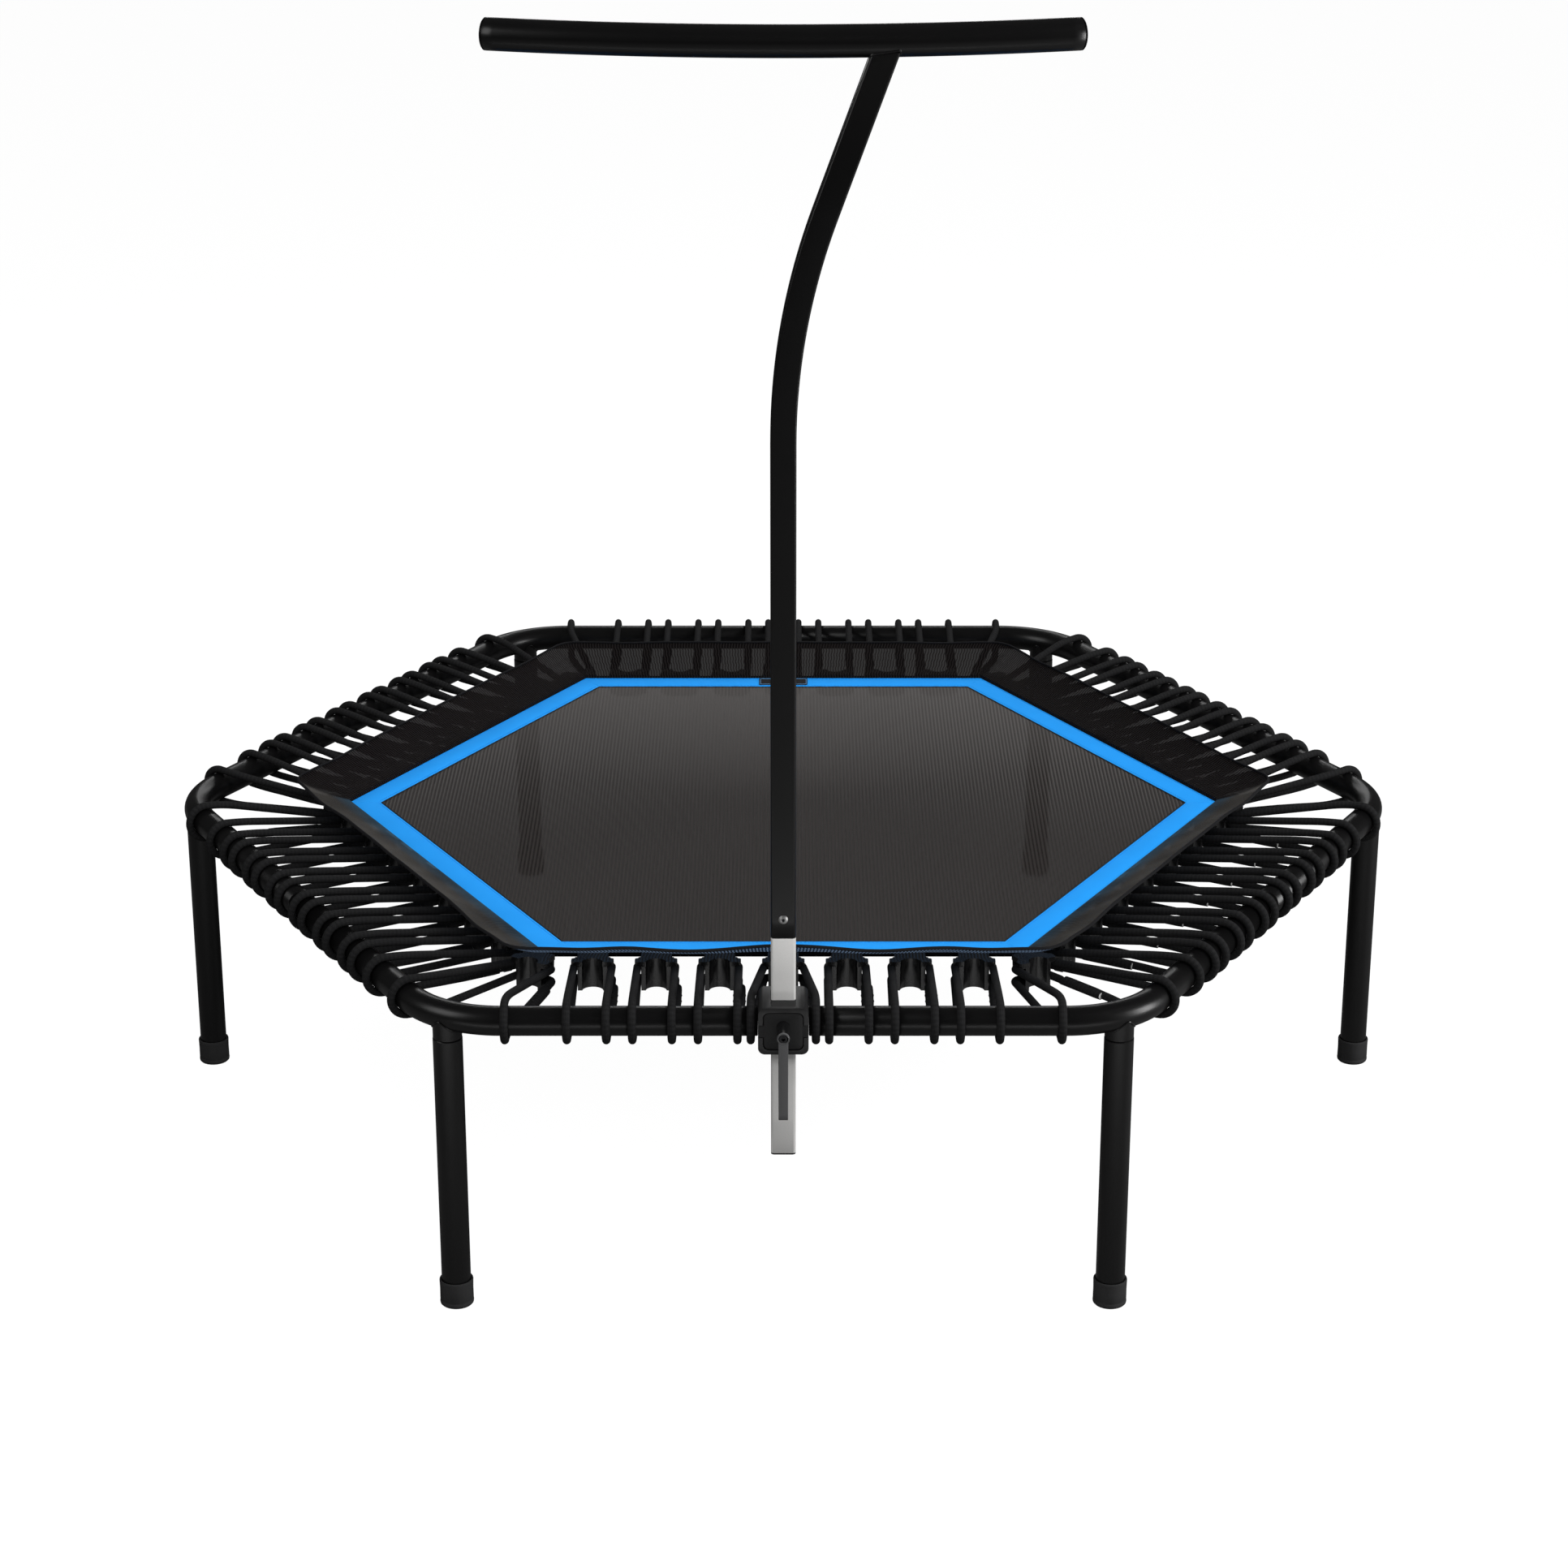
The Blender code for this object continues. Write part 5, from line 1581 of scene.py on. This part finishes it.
def build_lever():
    """The clamp lever: a tapered hub with a rolled rim and an inner web, and its arm, screw and spring."""
    front = HOUSING[0].y
    length = front - HUB_FRONT
    profile = [
        (0.0047, length - 0.0003), (0.0050, length), (0.0055, length), (0.0059, length - 0.0005),
        (0.0060, length - 0.0020), (0.0062, length * 0.45), (0.0067, 0.0012), (0.0067, 0.0006),
        (0.0064, 0.0003), (0.0047, 0.0003),
    ]
    hub = turned_at_front("hub", profile, "black_plastic", front, LEVER_Z, 48)
    profile = [
        (0.0046, length - 0.0006), (0.0047, length + 0.00005), (0.0054, length + 0.00005),
        (0.0060, length - 0.0005), (0.0061, length - 0.0022), (0.0046, length - 0.0022),
    ]
    rim = turned_at_front("rim", profile, "lever_grey", front, LEVER_Z, 48)
    high, low = length - 0.0125, length - 0.0155
    profile = [(0.0024, high), (0.0048, high), (0.0048, low), (0.0024, low)]
    web = turned_at_front("web", profile, "lever_grey", front, LEVER_Z, 32)
    lever = join("lever_grip", [hub, rim, web, lever_arm()])
    stands_for(lever, "lever", "lever_handle")
    build_lever_screw(front, length)
    build_lever_spring()


def lever_arm():
    """The flat arm that hangs from the hub, a little narrower toward its end."""
    rings = []
    top = LEVER_Z - 0.0040
    y = HUB_FRONT + 0.0027
    rows = 14
    for row in range(rows + 1):
        share = row / rows
        height = top + (ARM_BOTTOM - top) * share
        half = 0.0047 - 0.0002 * share
        thick = 0.0024 - 0.0002 * share
        rings.append([Vector((x, y + d, height)) for x, d in rounded_square(half, thick, 0.0007, 4)])
    last = [Vector((point.x * 0.93, y + (point.y - y) * 0.85, ARM_BOTTOM)) for point in rings[-1]]
    rings[-1] = [point + up_by(0.0004) for point in rings[-1]]
    rings.append(last)
    arm = closed_faces_out(loft("arm", rings, "lever_grey", sharp=50))
    return arm


def build_lever_screw(front, length):
    """The socket screw that keeps the lever on its stud."""
    profile = [
        (0, length - 0.0030), (0.0018, length - 0.0030), (0.0018, length - 0.0007),
        (0.0022, length - 0.0005), (0.0037, length - 0.0006), (0.0041, length - 0.0011),
        (0.0041, length - 0.0041), (0.0020, length - 0.0041), (0.0020, length - 0.0185),
        (0, length - 0.0185),
    ]
    screw = turned_at_front("lever_socket_screw", profile, "dark_steel", front, LEVER_Z, 36)
    stands_for(screw, "clamp_stud", "lever_screw")


def build_lever_spring():
    """The coil between the screw's head and the hub's web."""
    low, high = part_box("lever_spring")
    outer = (high.x - low.x) / 2
    reach = outer - SPRING_WIRE
    turns = 5
    steps = turns * 20
    points = []
    for step in range(steps + 1):
        share = step / steps
        angle = 2 * math.pi * turns * share
        y = low.y + SPRING_WIRE + (high.y - low.y - 2 * SPRING_WIRE) * share
        points.append(Vector((reach * math.cos(angle), y, LEVER_Z + reach * math.sin(angle))))
    spring = sweep("lever_coil_spring", points, circle(SPRING_WIRE, 8), "steel", up=Vector((0, 1, 0)))
    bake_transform(spring)
    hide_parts("lever_spring")


def dress_cad_nodes():
    """Finishes for the CAD nodes that stay visible or hidden inside: spigots, studs, insert and shoe."""
    inner = ["post_spigot", "nut_insert", "pressure_shoe", "lever_stud"]
    inner += ["frame_spigot_" + name for name in ("left", "back", "right")]
    inner += ["leg_stud_" + name for name in CORNERS]
    for node in inner:
        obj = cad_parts[node]
        obj.data.materials.clear()
        obj.data.materials.append(MATERIALS["steel"])
        obj.data.polygons.foreach_set("use_smooth", [True] * len(obj.data.polygons))
        obj.data.set_sharp_from_angle(angle=math.radians(40))
        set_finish(obj, "steel")


# ---- Stage ----------------------------------------------------------------------------------------


def floor_material():
    """A pale floor that reads near white to the camera and throws little light back up."""
    shader = Shader("floor_pale", (0.9, 0.9, 0.9), 0.9)
    shader.main.inputs["Specular IOR Level"].default_value = 0.0
    glow = shader.add("ShaderNodeEmission")
    glow.inputs["Color"].default_value = (1.0, 1.0, 1.0, 1.0)
    glow.inputs["Strength"].default_value = FLOOR_BRIGHTNESS
    path = shader.add("ShaderNodeLightPath")
    shader.colour(shader.mix(path.outputs["Is Camera Ray"], (0.12, 0.12, 0.12), (0.9, 0.9, 0.9)))
    share = shader.math("MULTIPLY", path.outputs["Is Camera Ray"], FLOOR_GLOW)
    blend = shader.add("ShaderNodeMixShader")
    shader.link(share, blend.inputs["Fac"])
    shader.link(shader.main.outputs["BSDF"], blend.inputs[1])
    shader.link(glow.outputs["Emission"], blend.inputs[2])
    shader.link(blend.outputs["Shader"], shader.tree.nodes["Material Output"].inputs["Surface"])
    return shader.material


def area_light(name, place, target, width, height, power, reflected):
    """A soft rectangular light. One that isn't reflected only lights surfaces evenly."""
    light = bpy.data.lights.new(name, "AREA")
    light.shape = "RECTANGLE"
    light.size = width
    light.size_y = height
    light.energy = power
    obj = bpy.data.objects.new(name, light)
    obj.location = place
    obj.rotation_euler = (Vector(target) - Vector(place)).to_track_quat("-Z", "Y").to_euler()
    obj.visible_camera = False
    obj.visible_glossy = reflected
    bpy.context.scene.collection.objects.link(obj)


def build_stage():
    """The pale floor, the world's light and the studio lights."""
    floor_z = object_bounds()[0].z
    shape = bmesh.new()
    bmesh.ops.create_circle(shape, cap_ends=True, segments=96, radius=30)
    mesh = bpy.data.meshes.new("floor")
    shape.to_mesh(mesh)
    shape.free()
    floor = bpy.data.objects.new("floor", mesh)
    floor.location.z = floor_z - 0.0002
    mesh.materials.append(floor_material())
    bpy.context.scene.collection.objects.link(floor)

    world = bpy.data.worlds.new("studio")
    bpy.context.scene.world = world
    world.use_nodes = True
    background = world.node_tree.nodes["Background"]
    background.inputs["Color"].default_value = (1.0, 1.0, 1.0, 1.0)
    path = world.node_tree.nodes.new("ShaderNodeLightPath")
    level = world.node_tree.nodes.new("ShaderNodeMapRange")
    level.inputs["To Min"].default_value = WORLD_LIGHT
    level.inputs["To Max"].default_value = 1.0
    world.node_tree.links.new(path.outputs["Is Camera Ray"], level.inputs["Value"])
    world.node_tree.links.new(level.outputs["Result"], background.inputs["Strength"])
    for light in LIGHTS:
        area_light(*light)
    bpy.context.scene.view_settings.view_transform = "Standard"


def build_camera():
    camera = bpy.data.cameras.new("camera")
    camera.lens = CAMERA_LENS
    camera.sensor_width = 36
    camera.shift_x = CAMERA_SHIFT
    obj = bpy.data.objects.new("camera", camera)
    obj.location = CAMERA_PLACE
    obj.rotation_euler = (CAMERA_TILT, 0, 0)
    bpy.context.scene.collection.objects.link(obj)
    bpy.context.scene.camera = obj


# ---- Assembly -------------------------------------------------------------------------------------

build_frame()
build_legs()
build_mat()
build_band()
build_skirt()
build_label()
build_clips()
build_cords()
build_post()
build_post_weld()
build_bolt()
build_post_plug()
build_bar()
build_housing()
build_lever()
dress_cad_nodes()
build_stage()
build_camera()
